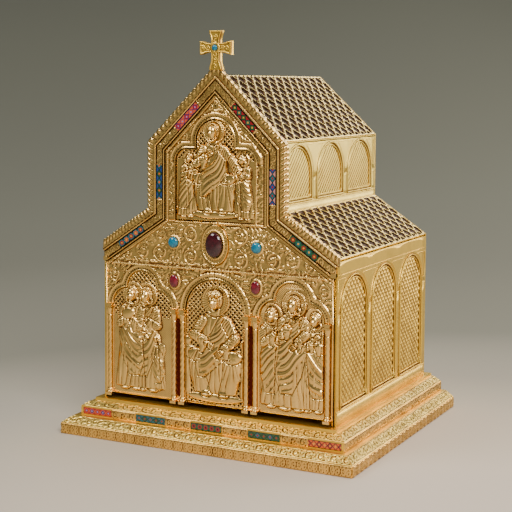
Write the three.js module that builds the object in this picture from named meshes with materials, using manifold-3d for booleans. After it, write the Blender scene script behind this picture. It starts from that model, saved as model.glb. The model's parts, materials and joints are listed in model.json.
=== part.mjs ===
// A gilt metal altar tabernacle in the form of a small basilica: a two-step plinth, a hollow house with
// aisle and nave roofs, a gabled front frame and two hinged door leaves that carry an arcade of reliefs.
// Millimetres, +Z up, +X to the viewer's right, the front faces -Y, origin at the middle of the underside.
import * as THREE from "three";
import { mergeVertices } from "three/addons/utils/BufferGeometryUtils.js";
import Module from "manifold-3d";

const wasm = await Module();
wasm.setup();

// House
const BODY_WIDTH = 320;
const BODY_DEPTH = 305;
const WALL = 2.5;
const SIDE_WALL_HEIGHT = 195;
const NAVE_WIDTH = 169;
const AISLE_RISE = 50.2;
const CLERESTORY_HEIGHT = 84;
const NAVE_RISE = 78.7;
const ROOF_SHEET = 2;
const TILE_ROW = 10.6;
const TILE_STEP = 0.9;

// Plinth
const LOWER_SIDE = 38;
const LOWER_FRONT = 42.5;
const LOWER_EDGE = 13.5;
const LOWER_BEVEL_IN = 12;
const LOWER_BEVEL_UP = 8.25;
const UPPER_SIDE = 20;
const UPPER_FRONT = 23.5;
const UPPER_EDGE = 11.5;
const UPPER_BEVEL_IN = 12.5;
const UPPER_BEVEL_UP = 6.5;
const PLINTH_BACK = 14;
const PLINTH_SHELL = 3;
const SILL_SIDE = 6;
const SILL_FRONT = 12.5;
const SILL_THICK = 3.5;

// Front frame: an inlaid band with two raised fillets, and a leafy crest outside it
const BAND_WIDTH = 14.2;
const CREST_WIDTH = 11;
const CREST_LOBE = 6.6;
const CREST_LOBE_HEIGHT = 1.5;
const FRAME_BACK = 4;
const CREST_PROUD = 2.5;
const BAND_PROUD = 3.5;
const FILLET_PROUD = 4.5;
const FILLET_WIDTH = 1.6;
const FOOT_BELOW_EAVE = 20.6;
const KNEE_BELOW_AISLE_TOP = 15;
const SHOULDER_BELOW_NAVE_EAVE = 13.7;
const APEX_BELOW_RIDGE = 22.5;
const CROSS_SEAT_HALF = 7.5;
const BAND_FOOT_IN = 1;
const CREST_FOOT_OUT = 1.5;
const SOCKET_WALL = 2.5;
const SOCKET_COVER = 2;

// Cross
const CROSS_HEIGHT = 46.5;
const CROSS_HALF_SPAN = 21;
const CROSS_ARM_HALF = 5.6;
const CROSS_FLARE = 2.6;
const CROSS_THICK = 8;
const CROSS_ARM_Z = 26;
const CROSS_FLARE_START = 0.72;
const CROSS_FLARE_LENGTH = 1.5;

// Door leaves
const DOOR_PLATE = 3;
const DOOR_GAP = 0.6;
const DOOR_FRAME_GAP = 1.4;
const DOOR_POST_GAP = 1;
const DOOR_LIFT = 6;
const ARCADE_PROUD = 3;
const ARCHIVOLT_PROUD = 4;
const FIELD_PROUD = 2.5;
const MOULDING_PROUD = 4.2;
const MOULDING_HEIGHT = 2.6;
const STILE_PROUD = 3.4;
const PIVOT_RADIUS = 1.2;
const PIVOT_LENGTH = 3;
const PIVOT_FORWARD = 2;
const PIVOT_INSET = 1;
const RUNNING_GAP = 0.3;
const NOTCH_GAP = 0.8;
const BITE = 1;
const CUT_PAST = 20;

// Arcade: its top moulding hangs below the frame's foot, and the arches spring below that
const ARCADE_TOP_BELOW_FOOT = 3.4;
const SPRING_BELOW_ARCADE_TOP = 50.25;
const COLUMN_RADIUS = 3.3;
const COLUMN_BLOCK_PROUD = 0.9;
const COLUMN_DROP = 2.5;
const COLUMN_PAIR_HALF = 6;
const COLUMN_PAIR_X = 50;
const OUTER_COLUMN_INSET = 10;
const CAPITAL_HEIGHT = 8;
const CAPITAL_NECK_IN = 0.7;
const COLUMN_BASE_HEIGHT = 6;
const ARCHIVOLT_WIDTH = 8.5;
const NICHE_MARGIN = 0.4;
const PLAQUE_LIFT = 8;
const SIDE_LOBE_RADIUS = 21;
const TOP_LOBE_RADIUS = 21.5;
const TOP_LOBE_RISE = 22;
const STILT = 6.5;
const LOBE_CLOSE = 0.995;
const CUSP = 0.15;

// Gable niche: its floor and moulding stand by the frame's knee, and its lobes above its floor
const GABLE_FLOOR_ABOVE_KNEE = 1.3;
const GABLE_MOULDING_BELOW_KNEE = 2.2;
const GABLE_NICHE_HALF = 54;
const GABLE_SIDE_LOBE_RADIUS = 15;
const GABLE_SIDE_LOBE_RISE = 72;
const GABLE_TOP_LOBE_RADIUS = 25.5;
const GABLE_TOP_LOBE_RISE = 97;

// Plaques cast in relief, set into the niches
const PLAQUE_GROUND = 1.2;
const RELIEF_HEIGHT = 6.5;
const FIGURE_FLOOR = 4;
const GABLE_FIGURE_FLOOR = 2;
const HALO_CLEAR = 8;
const HALO_SHARE = 0.13;
const HALO_PROUD = 1.2;
const FOLD_SIDES = 8;

// Windows sunk in the walls
const WINDOW_COUNT = 3;
const WINDOW_PIER = 13.7;
const WINDOW_RING = 4;
const WINDOW_RING_PROUD = 1;
const WINDOW_SINK = 1;
const WINDOW_FRONT_SET = 52;
const WINDOW_BACK_SET = 57.6;
const AISLE_WINDOW_BOTTOM = 17.5;
const AISLE_WINDOW_TOP_MARGIN = 21.5;
const NAVE_WINDOW_BOTTOM = 10;
const NAVE_WINDOW_TOP_MARGIN = 4.5;
const SPANDREL_DROP = 6;
const SPANDREL_DEPTH = 0.7;
const WALL_TOP_GAP = 0.3;
const NAVE_WALL_DIP = 10;

// Stones and enamels
const INLAY_LENGTH = 41.5;
const INLAY_WIDTH = 8.2;
const INLAY_THICK = 0.7;
const INLAY_GAP = 0.3;
const BASE_INLAY_PITCH = 78;
const BIG_STONE_HALF = [11.5, 15.5];
const BIG_STONE_RISE = 6;
const BIG_MOUNT_HALF = [18.5, 24.5];
const BIG_MOUNT_PROUD = 4.4;
const STONE_ROW_BELOW_KNEE = 27;
const ROUND_STONE_RADIUS = 6.7;
const ROUND_STONE_RISE = 4;
const ROUND_STONE_X = 57;
const SMALL_STONE_HALF = [6.1, 8];
const SMALL_STONE_RISE = 3.2;
const SMALL_STONE_X = 56;
const SMALL_STONE_BELOW_ARCADE_TOP = 15.5;
const BEZEL = 2;
const CROSS_STONE_RADIUS = 3.6;
const CROSS_STONE_RISE = 2.2;

// Heights and planes worked out from the sizes above
const bodyHalf = BODY_WIDTH / 2;
const naveHalf = NAVE_WIDTH / 2;
const plinthDepth = LOWER_FRONT + BODY_DEPTH + PLINTH_BACK;
const plinthFrontY = -plinthDepth / 2;
const plinthBackY = plinthDepth / 2;
const facadeY = plinthFrontY + LOWER_FRONT;
const backY = facadeY + BODY_DEPTH;
const lowerTop = LOWER_EDGE + LOWER_BEVEL_UP;
const upperTop = lowerTop + UPPER_EDGE + UPPER_BEVEL_UP;
const sillTop = upperTop + SILL_THICK;
const eaveZ = sillTop + SIDE_WALL_HEIGHT;
const aisleTopZ = eaveZ + AISLE_RISE;
const naveEaveZ = aisleTopZ + CLERESTORY_HEIGHT;
const ridgeZ = naveEaveZ + NAVE_RISE;
const aisleSlope = AISLE_RISE / (bodyHalf - naveHalf);
const naveSlope = NAVE_RISE / naveHalf;

const GILT = { color: 0xd9a441, roughness: 0.28, metalness: 1 };
const SATIN = { color: 0xd8b872, roughness: 0.42, metalness: 1 };
const ENAMEL = { color: 0x2f7f86, roughness: 0.2, metalness: 0 };
const GARNET = { color: 0x4a0d1c, roughness: 0.05, metalness: 0 };
const TURQUOISE = { color: 0x1ca6c4, roughness: 0.15, metalness: 0 };

const tabernacle = new THREE.Group();

function material(finish) {
  return new THREE.MeshStandardMaterial(finish);
}

// A closed three.js geometry as a solid that can be joined and cut.
function solidOf(geometry) {
  const bare = geometry.index ? geometry.toNonIndexed() : geometry.clone();
  for (const name of Object.keys(bare.attributes)) {
    if (name !== "position") bare.deleteAttribute(name);
  }
  const merged = mergeVertices(bare, 1e-4);
  return new wasm.Manifold(
    new wasm.Mesh({
      numProp: 3,
      vertProperties: merged.attributes.position.array,
      triVerts: new Uint32Array(merged.index.array),
    }),
  );
}

function geometryOf(solid) {
  const mesh = solid.getMesh();
  const geometry = new THREE.BufferGeometry();
  geometry.setAttribute("position", new THREE.BufferAttribute(mesh.vertProperties, 3));
  geometry.setIndex(new THREE.BufferAttribute(mesh.triVerts, 1));
  geometry.computeVertexNormals();
  return geometry;
}

function addPiece(name, solid, finish) {
  const mesh = new THREE.Mesh(geometryOf(solid), material(finish));
  mesh.name = name;
  tabernacle.add(mesh);
}

function unite(solids) {
  return solids.reduce((sum, next) => sum.add(next));
}

function box(x0, x1, y0, y1, z0, z1) {
  const geometry = new THREE.BoxGeometry(x1 - x0, y1 - y0, z1 - z0);
  geometry.translate((x0 + x1) / 2, (y0 + y1) / 2, (z0 + z1) / 2);
  return solidOf(geometry);
}

function polygon(points) {
  return new THREE.Shape(points.map(([a, b]) => new THREE.Vector2(a, b)));
}

// An outline drawn in x and z, as a slab from y0 to y1.
function slabY(shape, y0, y1, curveSegments = 8) {
  const geometry = new THREE.ExtrudeGeometry(shape, { depth: y1 - y0, bevelEnabled: false, curveSegments });
  geometry.rotateX(Math.PI / 2);
  geometry.translate(0, y1, 0);
  return solidOf(geometry);
}

// An outline drawn in y and z, as a slab from x0 to x1.
function slabX(shape, x0, x1, curveSegments = 8) {
  const geometry = new THREE.ExtrudeGeometry(shape, { depth: x1 - x0, bevelEnabled: false, curveSegments });
  const axes = new THREE.Matrix4().makeBasis(
    new THREE.Vector3(0, 1, 0),
    new THREE.Vector3(0, 0, 1),
    new THREE.Vector3(1, 0, 0),
  );
  geometry.applyMatrix4(axes);
  geometry.translate(x0, 0, 0);
  return solidOf(geometry);
}

function ellipse(x, z, halfX, halfZ) {
  return new THREE.Shape().absellipse(x, z, halfX, halfZ, 0, Math.PI * 2, false, 0);
}

function mirrored(points) {
  return points.map(([a, b]) => [-a, b]).reverse();
}

// Where the lines through two pairs of points cross.
function crossing([a, b], [c, d]) {
  const p = b[0] - a[0];
  const q = b[1] - a[1];
  const r = d[0] - c[0];
  const s = d[1] - c[1];
  const t = ((c[0] - a[0]) * s - (c[1] - a[1]) * r) / (p * s - q * r);
  return [a[0] + p * t, a[1] + q * t];
}

// An open line of points moved sideways by a distance, to the right of its direction when positive.
function offsetLine(points, distance) {
  const moved = [];
  for (let i = 0; i + 1 < points.length; i++) {
    const [ax, az] = points[i];
    const [bx, bz] = points[i + 1];
    const length = Math.hypot(bx - ax, bz - az);
    const nx = ((bz - az) / length) * distance;
    const nz = (-(bx - ax) / length) * distance;
    moved.push([[ax + nx, az + nz], [bx + nx, bz + nz]]);
  }
  const line = [moved[0][0]];
  for (let i = 0; i + 1 < moved.length; i++) line.push(crossing(moved[i], moved[i + 1]));
  line.push(moved[moved.length - 1][1]);
  return line;
}

// Plinth steps: an edge, then a bevel on the front and both sides, flat across the back, open beneath.
function plinthStep(half, frontY, z0, edge, bevelIn, bevelUp) {
  const z1 = z0 + edge;
  const z2 = z1 + bevelUp;
  const shell = PLINTH_SHELL;
  const ring = (inset, z) => [
    [-half + inset, frontY + inset, z],
    [half - inset, frontY + inset, z],
    [half - inset, plinthBackY, z],
    [-half + inset, plinthBackY, z],
  ];
  const outer = hullOfRings([ring(0, z0), ring(0, z1), ring(bevelIn, z2)]);
  const hollow = box(
    -half + shell + bevelIn,
    half - shell - bevelIn,
    frontY + shell + bevelIn,
    plinthBackY - shell,
    z0 - 1,
    z2 - shell,
  );
  return outer.subtract(hollow);
}

// A closed solid through rings of four corners each, bottom ring first.
function hullOfRings(rings) {
  const points = rings.flat();
  const faces = [];
  const quad = (a, b, c, d) => faces.push(a, b, c, a, c, d);
  const sides = 4;
  for (let r = 0; r + 1 < rings.length; r++) {
    for (let i = 0; i < sides; i++) {
      const j = (i + 1) % sides;
      quad(r * sides + i, r * sides + j, (r + 1) * sides + j, (r + 1) * sides + i);
    }
  }
  quad(3, 2, 1, 0);
  const top = (rings.length - 1) * sides;
  quad(top, top + 1, top + 2, top + 3);
  const geometry = new THREE.BufferGeometry();
  geometry.setAttribute("position", new THREE.Float32BufferAttribute(points.flat(), 3));
  geometry.setIndex(faces);
  return solidOf(geometry);
}

function inlayPocket(x, z, frontY, turn) {
  const slab = new THREE.BoxGeometry(
    INLAY_LENGTH + 2 * INLAY_GAP,
    2 * (INLAY_THICK + INLAY_GAP),
    INLAY_WIDTH + 2 * INLAY_GAP,
  );
  slab.rotateY(-turn);
  slab.translate(x, frontY, z);
  return solidOf(slab);
}

function inlay(x, z, frontY, turn) {
  const slab = new THREE.BoxGeometry(INLAY_LENGTH, INLAY_THICK, INLAY_WIDTH);
  slab.rotateY(-turn);
  slab.translate(x, frontY + INLAY_THICK / 2, z);
  return solidOf(slab);
}

function addPlinth() {
  const lower = plinthStep(
    bodyHalf + LOWER_SIDE,
    plinthFrontY,
    0,
    LOWER_EDGE,
    LOWER_BEVEL_IN,
    LOWER_BEVEL_UP,
  );
  addPiece("lower_plinth_step", lower, SATIN);
  const upperFrontY = facadeY - UPPER_FRONT;
  let upper = plinthStep(
    bodyHalf + UPPER_SIDE,
    upperFrontY,
    lowerTop,
    UPPER_EDGE,
    UPPER_BEVEL_IN,
    UPPER_BEVEL_UP,
  );
  const inlayZ = lowerTop + UPPER_EDGE / 2;
  for (let i = -2; i <= 2; i++) {
    const x = i * BASE_INLAY_PITCH;
    upper = upper.subtract(inlayPocket(x, inlayZ, upperFrontY, 0));
    addPiece("plinth_enamel_" + (i + 3), inlay(x, inlayZ, upperFrontY, 0), ENAMEL);
  }
  addPiece("upper_plinth_step", upper, SATIN);
  const half = bodyHalf + SILL_SIDE;
  let sill = box(-half, half, facadeY - SILL_FRONT, plinthBackY, upperTop, sillTop);
  for (const side of [-1, 1]) sill = sill.subtract(pivotHole(side, sillTop - PIVOT_LENGTH, sillTop + BITE));
  addPiece("sill_plate", sill, SATIN);
}

// The door pivots stand just in front of the leaf's plate, beside each post.
const leafOuterX = bodyHalf - WALL - DOOR_POST_GAP;
const pivotX = leafOuterX - PIVOT_INSET;
const pivotY = facadeY - PIVOT_FORWARD;
const leafBottomZ = sillTop + DOOR_LIFT;

function rod(x, y, z0, z1, radius, sides = 12) {
  const geometry = new THREE.CylinderGeometry(radius, radius, z1 - z0, sides);
  geometry.rotateX(Math.PI / 2);
  geometry.translate(x, y, (z0 + z1) / 2);
  return solidOf(geometry);
}

function pivotHole(side, z0, z1) {
  return rod(side * pivotX, pivotY, z0, z1, PIVOT_RADIUS + RUNNING_GAP);
}

// Front frame lines, right half, from the foot up to the apex.
const openingHalf = naveHalf - BAND_WIDTH;
const footZ = eaveZ - FOOT_BELOW_EAVE;
const kneeZ = aisleTopZ - KNEE_BELOW_AISLE_TOP;
const shoulderZ = naveEaveZ - SHOULDER_BELOW_NAVE_EAVE;
const apexZ = ridgeZ - APEX_BELOW_RIDGE;
const footX = openingHalf + (kneeZ - footZ) / aisleSlope;
const openingLine = [
  [footX, footZ],
  [openingHalf, kneeZ],
  [openingHalf, shoulderZ],
  [0, apexZ],
];
const bandFootX = bodyHalf - BAND_FOOT_IN;
const crestFootX = bodyHalf + CREST_FOOT_OUT;

// The opening's line moved outwards, started at a given x at its foot and ended on the middle plane.
function frameLine(distance, startX) {
  const line = offsetLine(openingLine, distance);
  const [a, b] = line;
  const start = [startX, a[1] + ((startX - a[0]) * (b[1] - a[1])) / (b[0] - a[0])];
  const [c, d] = line.slice(-2);
  const top = [0, c[1] + ((0 - c[0]) * (d[1] - c[1])) / (d[0] - c[0])];
  return [start, ...line.slice(1, -1), top];
}

const bandLine = frameLine(BAND_WIDTH, bandFootX);
const crestLine = frameLine(BAND_WIDTH + CREST_WIDTH, crestFootX);
const crestTopZ = crestLine[3][1];
const gableTan = (crestLine[3][1] - crestLine[2][1]) / crestLine[2][0];
const crossSeatZ = crestTopZ - CROSS_SEAT_HALF * gableTan;

// A straight edge drawn as a row of small outward lobes.
function lobedEdge(from, to) {
  const length = Math.hypot(to[0] - from[0], to[1] - from[1]);
  const count = Math.max(1, Math.round(length / CREST_LOBE));
  const ux = (to[0] - from[0]) / length;
  const uz = (to[1] - from[1]) / length;
  const points = [];
  for (let i = 0; i < count; i++) {
    for (const [along, out] of [[0, 0], [0.5, 1]]) {
      const s = ((i + along) / count) * length;
      const rise = out * CREST_LOBE_HEIGHT;
      points.push([from[0] + ux * s + uz * rise, from[1] + uz * s - ux * rise]);
    }
  }
  return points;
}

function addFrame() {
  const seat = [CROSS_SEAT_HALF, crossSeatZ];
  const crestInner = offsetLine(crestLine, -CREST_LOBE_HEIGHT);
  const crestEdge = [
    [bandFootX, footZ],
    [bandFootX, bandLine[0][1]],
    [crestFootX, bandLine[0][1]],
    ...lobedEdge(crestInner[0], crestInner[1]),
    ...lobedEdge(crestInner[1], crestInner[2]),
    ...lobedEdge(crestInner[2], seat),
    seat,
  ];
  const crestOutline = [
    ...crestEdge,
    ...mirrored(crestEdge),
    ...mirrored(openingLine).reverse(),
    ...openingLine.slice(0, -1).reverse(),
  ];
  const crest = slabY(polygon(crestOutline), facadeY - CREST_PROUD, facadeY + FRAME_BACK);
  const strip = (inner, outer, proud) => {
    const half = [[footX, footZ], [bandFootX, footZ], ...outer];
    const right = [...half, ...inner.slice(1).reverse()];
    const slab = slabY(polygon(right), facadeY - proud, facadeY + FRAME_BACK);
    const left = slabY(polygon(mirrored(right)), facadeY - proud, facadeY + FRAME_BACK);
    return slab.add(left);
  };
  const band = strip(openingLine, bandLine, BAND_PROUD);
  const fillet = (inner, outer, startX) => {
    const right = [...outer, ...inner.slice().reverse()];
    right[0] = [startX, outer[0][1]];
    const slab = slabY(polygon(right), facadeY - FILLET_PROUD, facadeY);
    return slab.add(slabY(polygon(mirrored(right)), facadeY - FILLET_PROUD, facadeY));
  };
  const innerFillet = fillet(openingLine, frameLine(FILLET_WIDTH, footX), footX);
  const outerFillet = fillet(frameLine(BAND_WIDTH - FILLET_WIDTH, bandFootX), bandLine, bandFootX);
  const foot = unite(
    [-1, 1].map((side) =>
      box(
        Math.min(side * (pivotX - SOCKET_WALL), side * bandFootX),
        Math.max(side * (pivotX - SOCKET_WALL), side * bandFootX),
        facadeY - FILLET_PROUD,
        facadeY + FRAME_BACK,
        footZ,
        footZ + PIVOT_LENGTH + SOCKET_COVER,
      ),
    ),
  );
  let frame = unite([crest, band, innerFillet, outerFillet, foot]);
  const socketTopZ = footZ + PIVOT_LENGTH + RUNNING_GAP;
  for (const side of [-1, 1]) frame = frame.subtract(pivotHole(side, footZ - BITE, socketTopZ));
  for (const [name, x, z, turn] of frameInlays()) {
    frame = frame.subtract(inlayPocket(x, z, facadeY - BAND_PROUD, turn));
    addPiece(name, inlay(x, z, facadeY - BAND_PROUD, turn), ENAMEL);
  }
  addPiece("front_frame", frame, GILT);
}

// Each straight of the band carries one enamel at its middle.
function frameInlays() {
  const middle = frameLine(BAND_WIDTH / 2, bandFootX);
  const names = ["aisle_enamel", "upright_enamel", "gable_enamel"];
  const places = [];
  for (let i = 0; i < names.length; i++) {
    const [ax, az] = middle[i];
    const [bx, bz] = middle[i + 1];
    const turn = Math.atan2(bz - az, bx - ax);
    places.push([names[i] + "_right", (ax + bx) / 2, (az + bz) / 2, turn]);
    places.push([names[i] + "_left", -(ax + bx) / 2, (az + bz) / 2, -turn]);
  }
  return places;
}

// Sheets of the house
function archShape(centreY, bottomZ, centreZ, radius) {
  const shape = new THREE.Shape();
  shape.moveTo(centreY - radius, bottomZ);
  shape.lineTo(centreY + radius, bottomZ);
  shape.lineTo(centreY + radius, centreZ);
  shape.absarc(centreY, centreZ, radius, 0, Math.PI, false);
  return shape;
}

const WINDOW_SEGMENTS = 4;
const windowPitch = (BODY_DEPTH - WINDOW_FRONT_SET - WINDOW_BACK_SET) / (WINDOW_COUNT - 1);
const windowRadius = (windowPitch - WINDOW_PIER) / 2;

// A sheet with a row of arched blind windows sunk in its outer face, which is at outerX.
function windowedWall(side, outerX, outline, windowBottom, windowTop) {
  const inward = -side;
  const slab = (shape, near, far) => {
    const a = outerX + inward * near;
    const b = outerX + inward * far;
    return slabX(shape, Math.min(a, b), Math.max(a, b), WINDOW_SEGMENTS);
  };
  let wall = slab(polygon(outline), 0, WALL);
  const centreZ = windowTop - windowRadius;
  const spandrelZ = windowTop - SPANDREL_DROP;
  for (let i = 0; i < WINDOW_COUNT; i++) {
    const y = facadeY + WINDOW_FRONT_SET + i * windowPitch;
    const ring = archShape(y, windowBottom, centreZ, windowRadius);
    const field = archShape(y, windowBottom + WINDOW_RING, centreZ, windowRadius - WINDOW_RING);
    wall = wall.add(slab(ring, -WINDOW_RING_PROUD, WALL / 2));
    wall = wall.subtract(slab(field, -2 * WINDOW_RING_PROUD, WINDOW_SINK));
    if (i + 1 < WINDOW_COUNT) {
      const middle = y + windowPitch / 2;
      const halfGap = windowPitch / 2 - windowRadius;
      const drop = spandrelZ - centreZ;
      const reach = windowPitch / 2 - Math.sqrt(windowRadius ** 2 - drop ** 2) - WINDOW_RING / 2;
      const sunk = polygon([
        [middle - reach, spandrelZ],
        [middle, spandrelZ - drop * SPANDREL_DEPTH - halfGap],
        [middle + reach, spandrelZ],
      ]);
      wall = wall.subtract(slab(sunk, -BITE, WINDOW_SINK));
    }
  }
  return wall;
}

function addWalls() {
  const frameBackY = facadeY + FRAME_BACK;
  const innerBackY = backY - WALL;
  const roofVertical = ROOF_SHEET / Math.cos(Math.atan(aisleSlope));
  const wallTop = eaveZ - roofVertical - WALL_TOP_GAP;
  const sideOutline = [
    [facadeY, sillTop],
    [innerBackY, sillTop],
    [innerBackY, wallTop],
    [frameBackY, wallTop],
    [frameBackY, footZ],
    [facadeY, footZ],
  ];
  const aisleTop = eaveZ - AISLE_WINDOW_TOP_MARGIN;
  const naveWallBottom = aisleTopZ - NAVE_WALL_DIP;
  const naveWallTop = naveEaveZ - ROOF_SHEET / Math.cos(Math.atan(naveSlope)) - WALL_TOP_GAP;
  const naveOutline = [
    [frameBackY, naveWallBottom],
    [innerBackY, naveWallBottom],
    [innerBackY, naveWallTop],
    [frameBackY, naveWallTop],
  ];
  for (const [name, side] of [["left", -1], ["right", 1]]) {
    const aisleFoot = sillTop + AISLE_WINDOW_BOTTOM;
    const sideWall = windowedWall(side, side * bodyHalf, sideOutline, aisleFoot, aisleTop);
    addPiece("side_wall_" + name, sideWall, SATIN);
    const naveWall = windowedWall(
      side,
      side * naveHalf,
      naveOutline,
      aisleTopZ + NAVE_WINDOW_BOTTOM,
      naveEaveZ - NAVE_WINDOW_TOP_MARGIN,
    );
    addPiece("clerestory_wall_" + name, naveWall, SATIN);
  }
  const half = [
    [bodyHalf, sillTop],
    [bodyHalf, eaveZ],
    [naveHalf, aisleTopZ],
    [naveHalf, naveEaveZ],
    [0, ridgeZ],
  ];
  const back = slabY(polygon([...half, ...mirrored(half).slice(1)]), innerBackY, backY);
  addPiece("back_wall", back, SATIN);
}

// A roof sheet drawn in section: courses of tiles step down from the high edge to the low one.
function roofSection(low, high, sheet) {
  const run = low[0] - high[0];
  const rise = high[1] - low[1];
  const length = Math.hypot(run, rise);
  const courses = Math.round(length / TILE_ROW);
  const normal = [rise / length, run / length];
  const points = [];
  for (let i = 0; i < courses; i++) {
    for (const [share, lift] of [[i / courses, 0], [(i + 1) / courses, -TILE_STEP]]) {
      points.push([
        low[0] - run * share + normal[0] * (i + 1 < courses ? lift : 0),
        low[1] + rise * share + normal[1] * (i + 1 < courses ? lift : 0),
      ]);
    }
  }
  const drop = sheet * (length / run);
  return [...points, [high[0], high[1] - drop], [low[0], low[1] - drop]];
}

function addRoofs() {
  const y0 = facadeY + FRAME_BACK;
  const y1 = backY - WALL;
  const gap = RUNNING_GAP;
  const aisle = roofSection([bodyHalf, eaveZ], [naveHalf + gap, aisleTopZ - gap * aisleSlope], ROOF_SHEET);
  const nave = roofSection([naveHalf, naveEaveZ], [gap / 2, ridgeZ - (gap / 2) * naveSlope], ROOF_SHEET);
  for (const [name, turn] of [["right", (p) => p], ["left", mirrored]]) {
    addPiece("aisle_roof_" + name, slabY(polygon(turn(aisle)), y0, y1), SATIN);
    addPiece("nave_roof_" + name, slabY(polygon(turn(nave)), y0, y1), SATIN);
  }
}

// Door leaves
const arcadeTopZ = footZ - ARCADE_TOP_BELOW_FOOT;
const springZ = arcadeTopZ - SPRING_BELOW_ARCADE_TOP;
const stoneRowZ = kneeZ - STONE_ROW_BELOW_KNEE;
const smallStoneZ = arcadeTopZ - SMALL_STONE_BELOW_ARCADE_TOP;
const plaqueBottomZ = sillTop + PLAQUE_LIFT;
const outerColumnX = leafOuterX - OUTER_COLUMN_INSET + COLUMN_RADIUS;
const columnBlock = COLUMN_RADIUS + COLUMN_BLOCK_PROUD;
const sideNicheLeft = COLUMN_PAIR_X + COLUMN_PAIR_HALF + columnBlock;
const sideNicheRight = outerColumnX - columnBlock;
const sideNicheX = (sideNicheLeft + sideNicheRight) / 2;
const sideNicheHalf = (sideNicheRight - sideNicheLeft) / 2;
const centreNicheHalf = COLUMN_PAIR_X - COLUMN_PAIR_HALF - columnBlock;
const gableFloorZ = kneeZ + GABLE_FLOOR_ABOVE_KNEE;
const gableMouldingZ = kneeZ - GABLE_MOULDING_BELOW_KNEE;

// Half width of a round-headed niche at a height, shrunk by a margin.
function roundHalf(z, margin) {
  const radius = centreNicheHalf - margin;
  return z <= springZ ? radius : Math.sqrt(Math.max(0, radius ** 2 - (z - springZ) ** 2));
}

// Half width of a three-lobed niche at a height: two side lobes, and a taller one between them.
function lobedHalf({ half, side, sideZ, top, topZ }, z, margin) {
  if (z <= sideZ) return half - margin;
  const sideRadius = side - margin;
  const topRadius = top - margin;
  const climb = z - sideZ;
  const shoulder = climb < sideRadius ? half - side + Math.sqrt(sideRadius ** 2 - climb ** 2) : 0;
  const crown = Math.sqrt(Math.max(0, topRadius ** 2 - Math.max(0, z - topZ) ** 2));
  return Math.max(shoulder, crown);
}

// Heights at which a niche's outline is drawn: its floor, and steps round each lobe.
function nicheRows(bottom, lobes) {
  const rows = [bottom];
  for (const { centre, radius, steps } of lobes) {
    for (let i = 0; i < steps; i++) rows.push(centre + radius * Math.sin(((i / steps) * Math.PI) / 2));
    rows.push(centre + radius * LOBE_CLOSE, centre + radius + CUSP);
  }
  const top = lobes[lobes.length - 1];
  const limit = top.centre + top.radius * LOBE_CLOSE;
  rows.sort((a, b) => a - b);
  return rows.filter((z, i) => z <= limit && (i === 0 || z - rows[i - 1] > CUSP / 2));
}

const sideLobes = {
  half: sideNicheHalf,
  side: SIDE_LOBE_RADIUS,
  sideZ: springZ,
  top: TOP_LOBE_RADIUS,
  topZ: springZ + TOP_LOBE_RISE,
};
const gableLobes = {
  half: GABLE_NICHE_HALF,
  side: GABLE_SIDE_LOBE_RADIUS,
  sideZ: gableFloorZ + GABLE_SIDE_LOBE_RISE,
  top: GABLE_TOP_LOBE_RADIUS,
  topZ: gableFloorZ + GABLE_TOP_LOBE_RISE,
};

function lobedRows(lobes, bottom, margin) {
  return nicheRows(bottom + margin, [
    { centre: lobes.sideZ, radius: lobes.side - margin, steps: 5 },
    { centre: lobes.topZ, radius: lobes.top - margin, steps: 6 },
  ]);
}

const NICHES = {
  centre: {
    half: roundHalf,
    rows: (margin) =>
      nicheRows(plaqueBottomZ + margin, [{ centre: springZ, radius: centreNicheHalf - margin, steps: 9 }]),
  },
  side: {
    half: (z, margin) => lobedHalf(sideLobes, z, margin),
    rows: (margin) => lobedRows(sideLobes, plaqueBottomZ, margin),
  },
  gable: {
    half: (z, margin) => lobedHalf(gableLobes, z, margin),
    rows: (margin) => lobedRows(gableLobes, gableFloorZ, margin),
  },
};

// A niche's outline, grown by a margin when it is negative, down to a given floor.
function nicheShape(niche, centreX, margin, floorZ) {
  const rows = niche.rows(margin);
  const right = rows.map((z) => [centreX + niche.half(z, margin), z]);
  right[0] = [right[0][0], floorZ];
  const left = rows.map((z) => [centreX - niche.half(z, margin), z]).reverse();
  left[left.length - 1] = [left[left.length - 1][0], floorZ];
  return polygon([...right, ...left]);
}

const capitalTopZ = springZ - STILT;

function column(x) {
  const foot = leafBottomZ - COLUMN_DROP;
  const y = facadeY - COLUMN_RADIUS + RUNNING_GAP;
  const collar = (half, z0, z1) => box(x - half, x + half, y - half, facadeY + BITE, z0, z1);
  const neckZ = capitalTopZ - CAPITAL_HEIGHT;
  return unite([
    rod(x, y, foot, capitalTopZ, COLUMN_RADIUS, 8),
    collar(columnBlock, foot, foot + COLUMN_BASE_HEIGHT),
    collar(columnBlock, neckZ + CAPITAL_HEIGHT / 2, capitalTopZ),
    collar(columnBlock - CAPITAL_NECK_IN, neckZ, capitalTopZ),
  ]);
}

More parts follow.
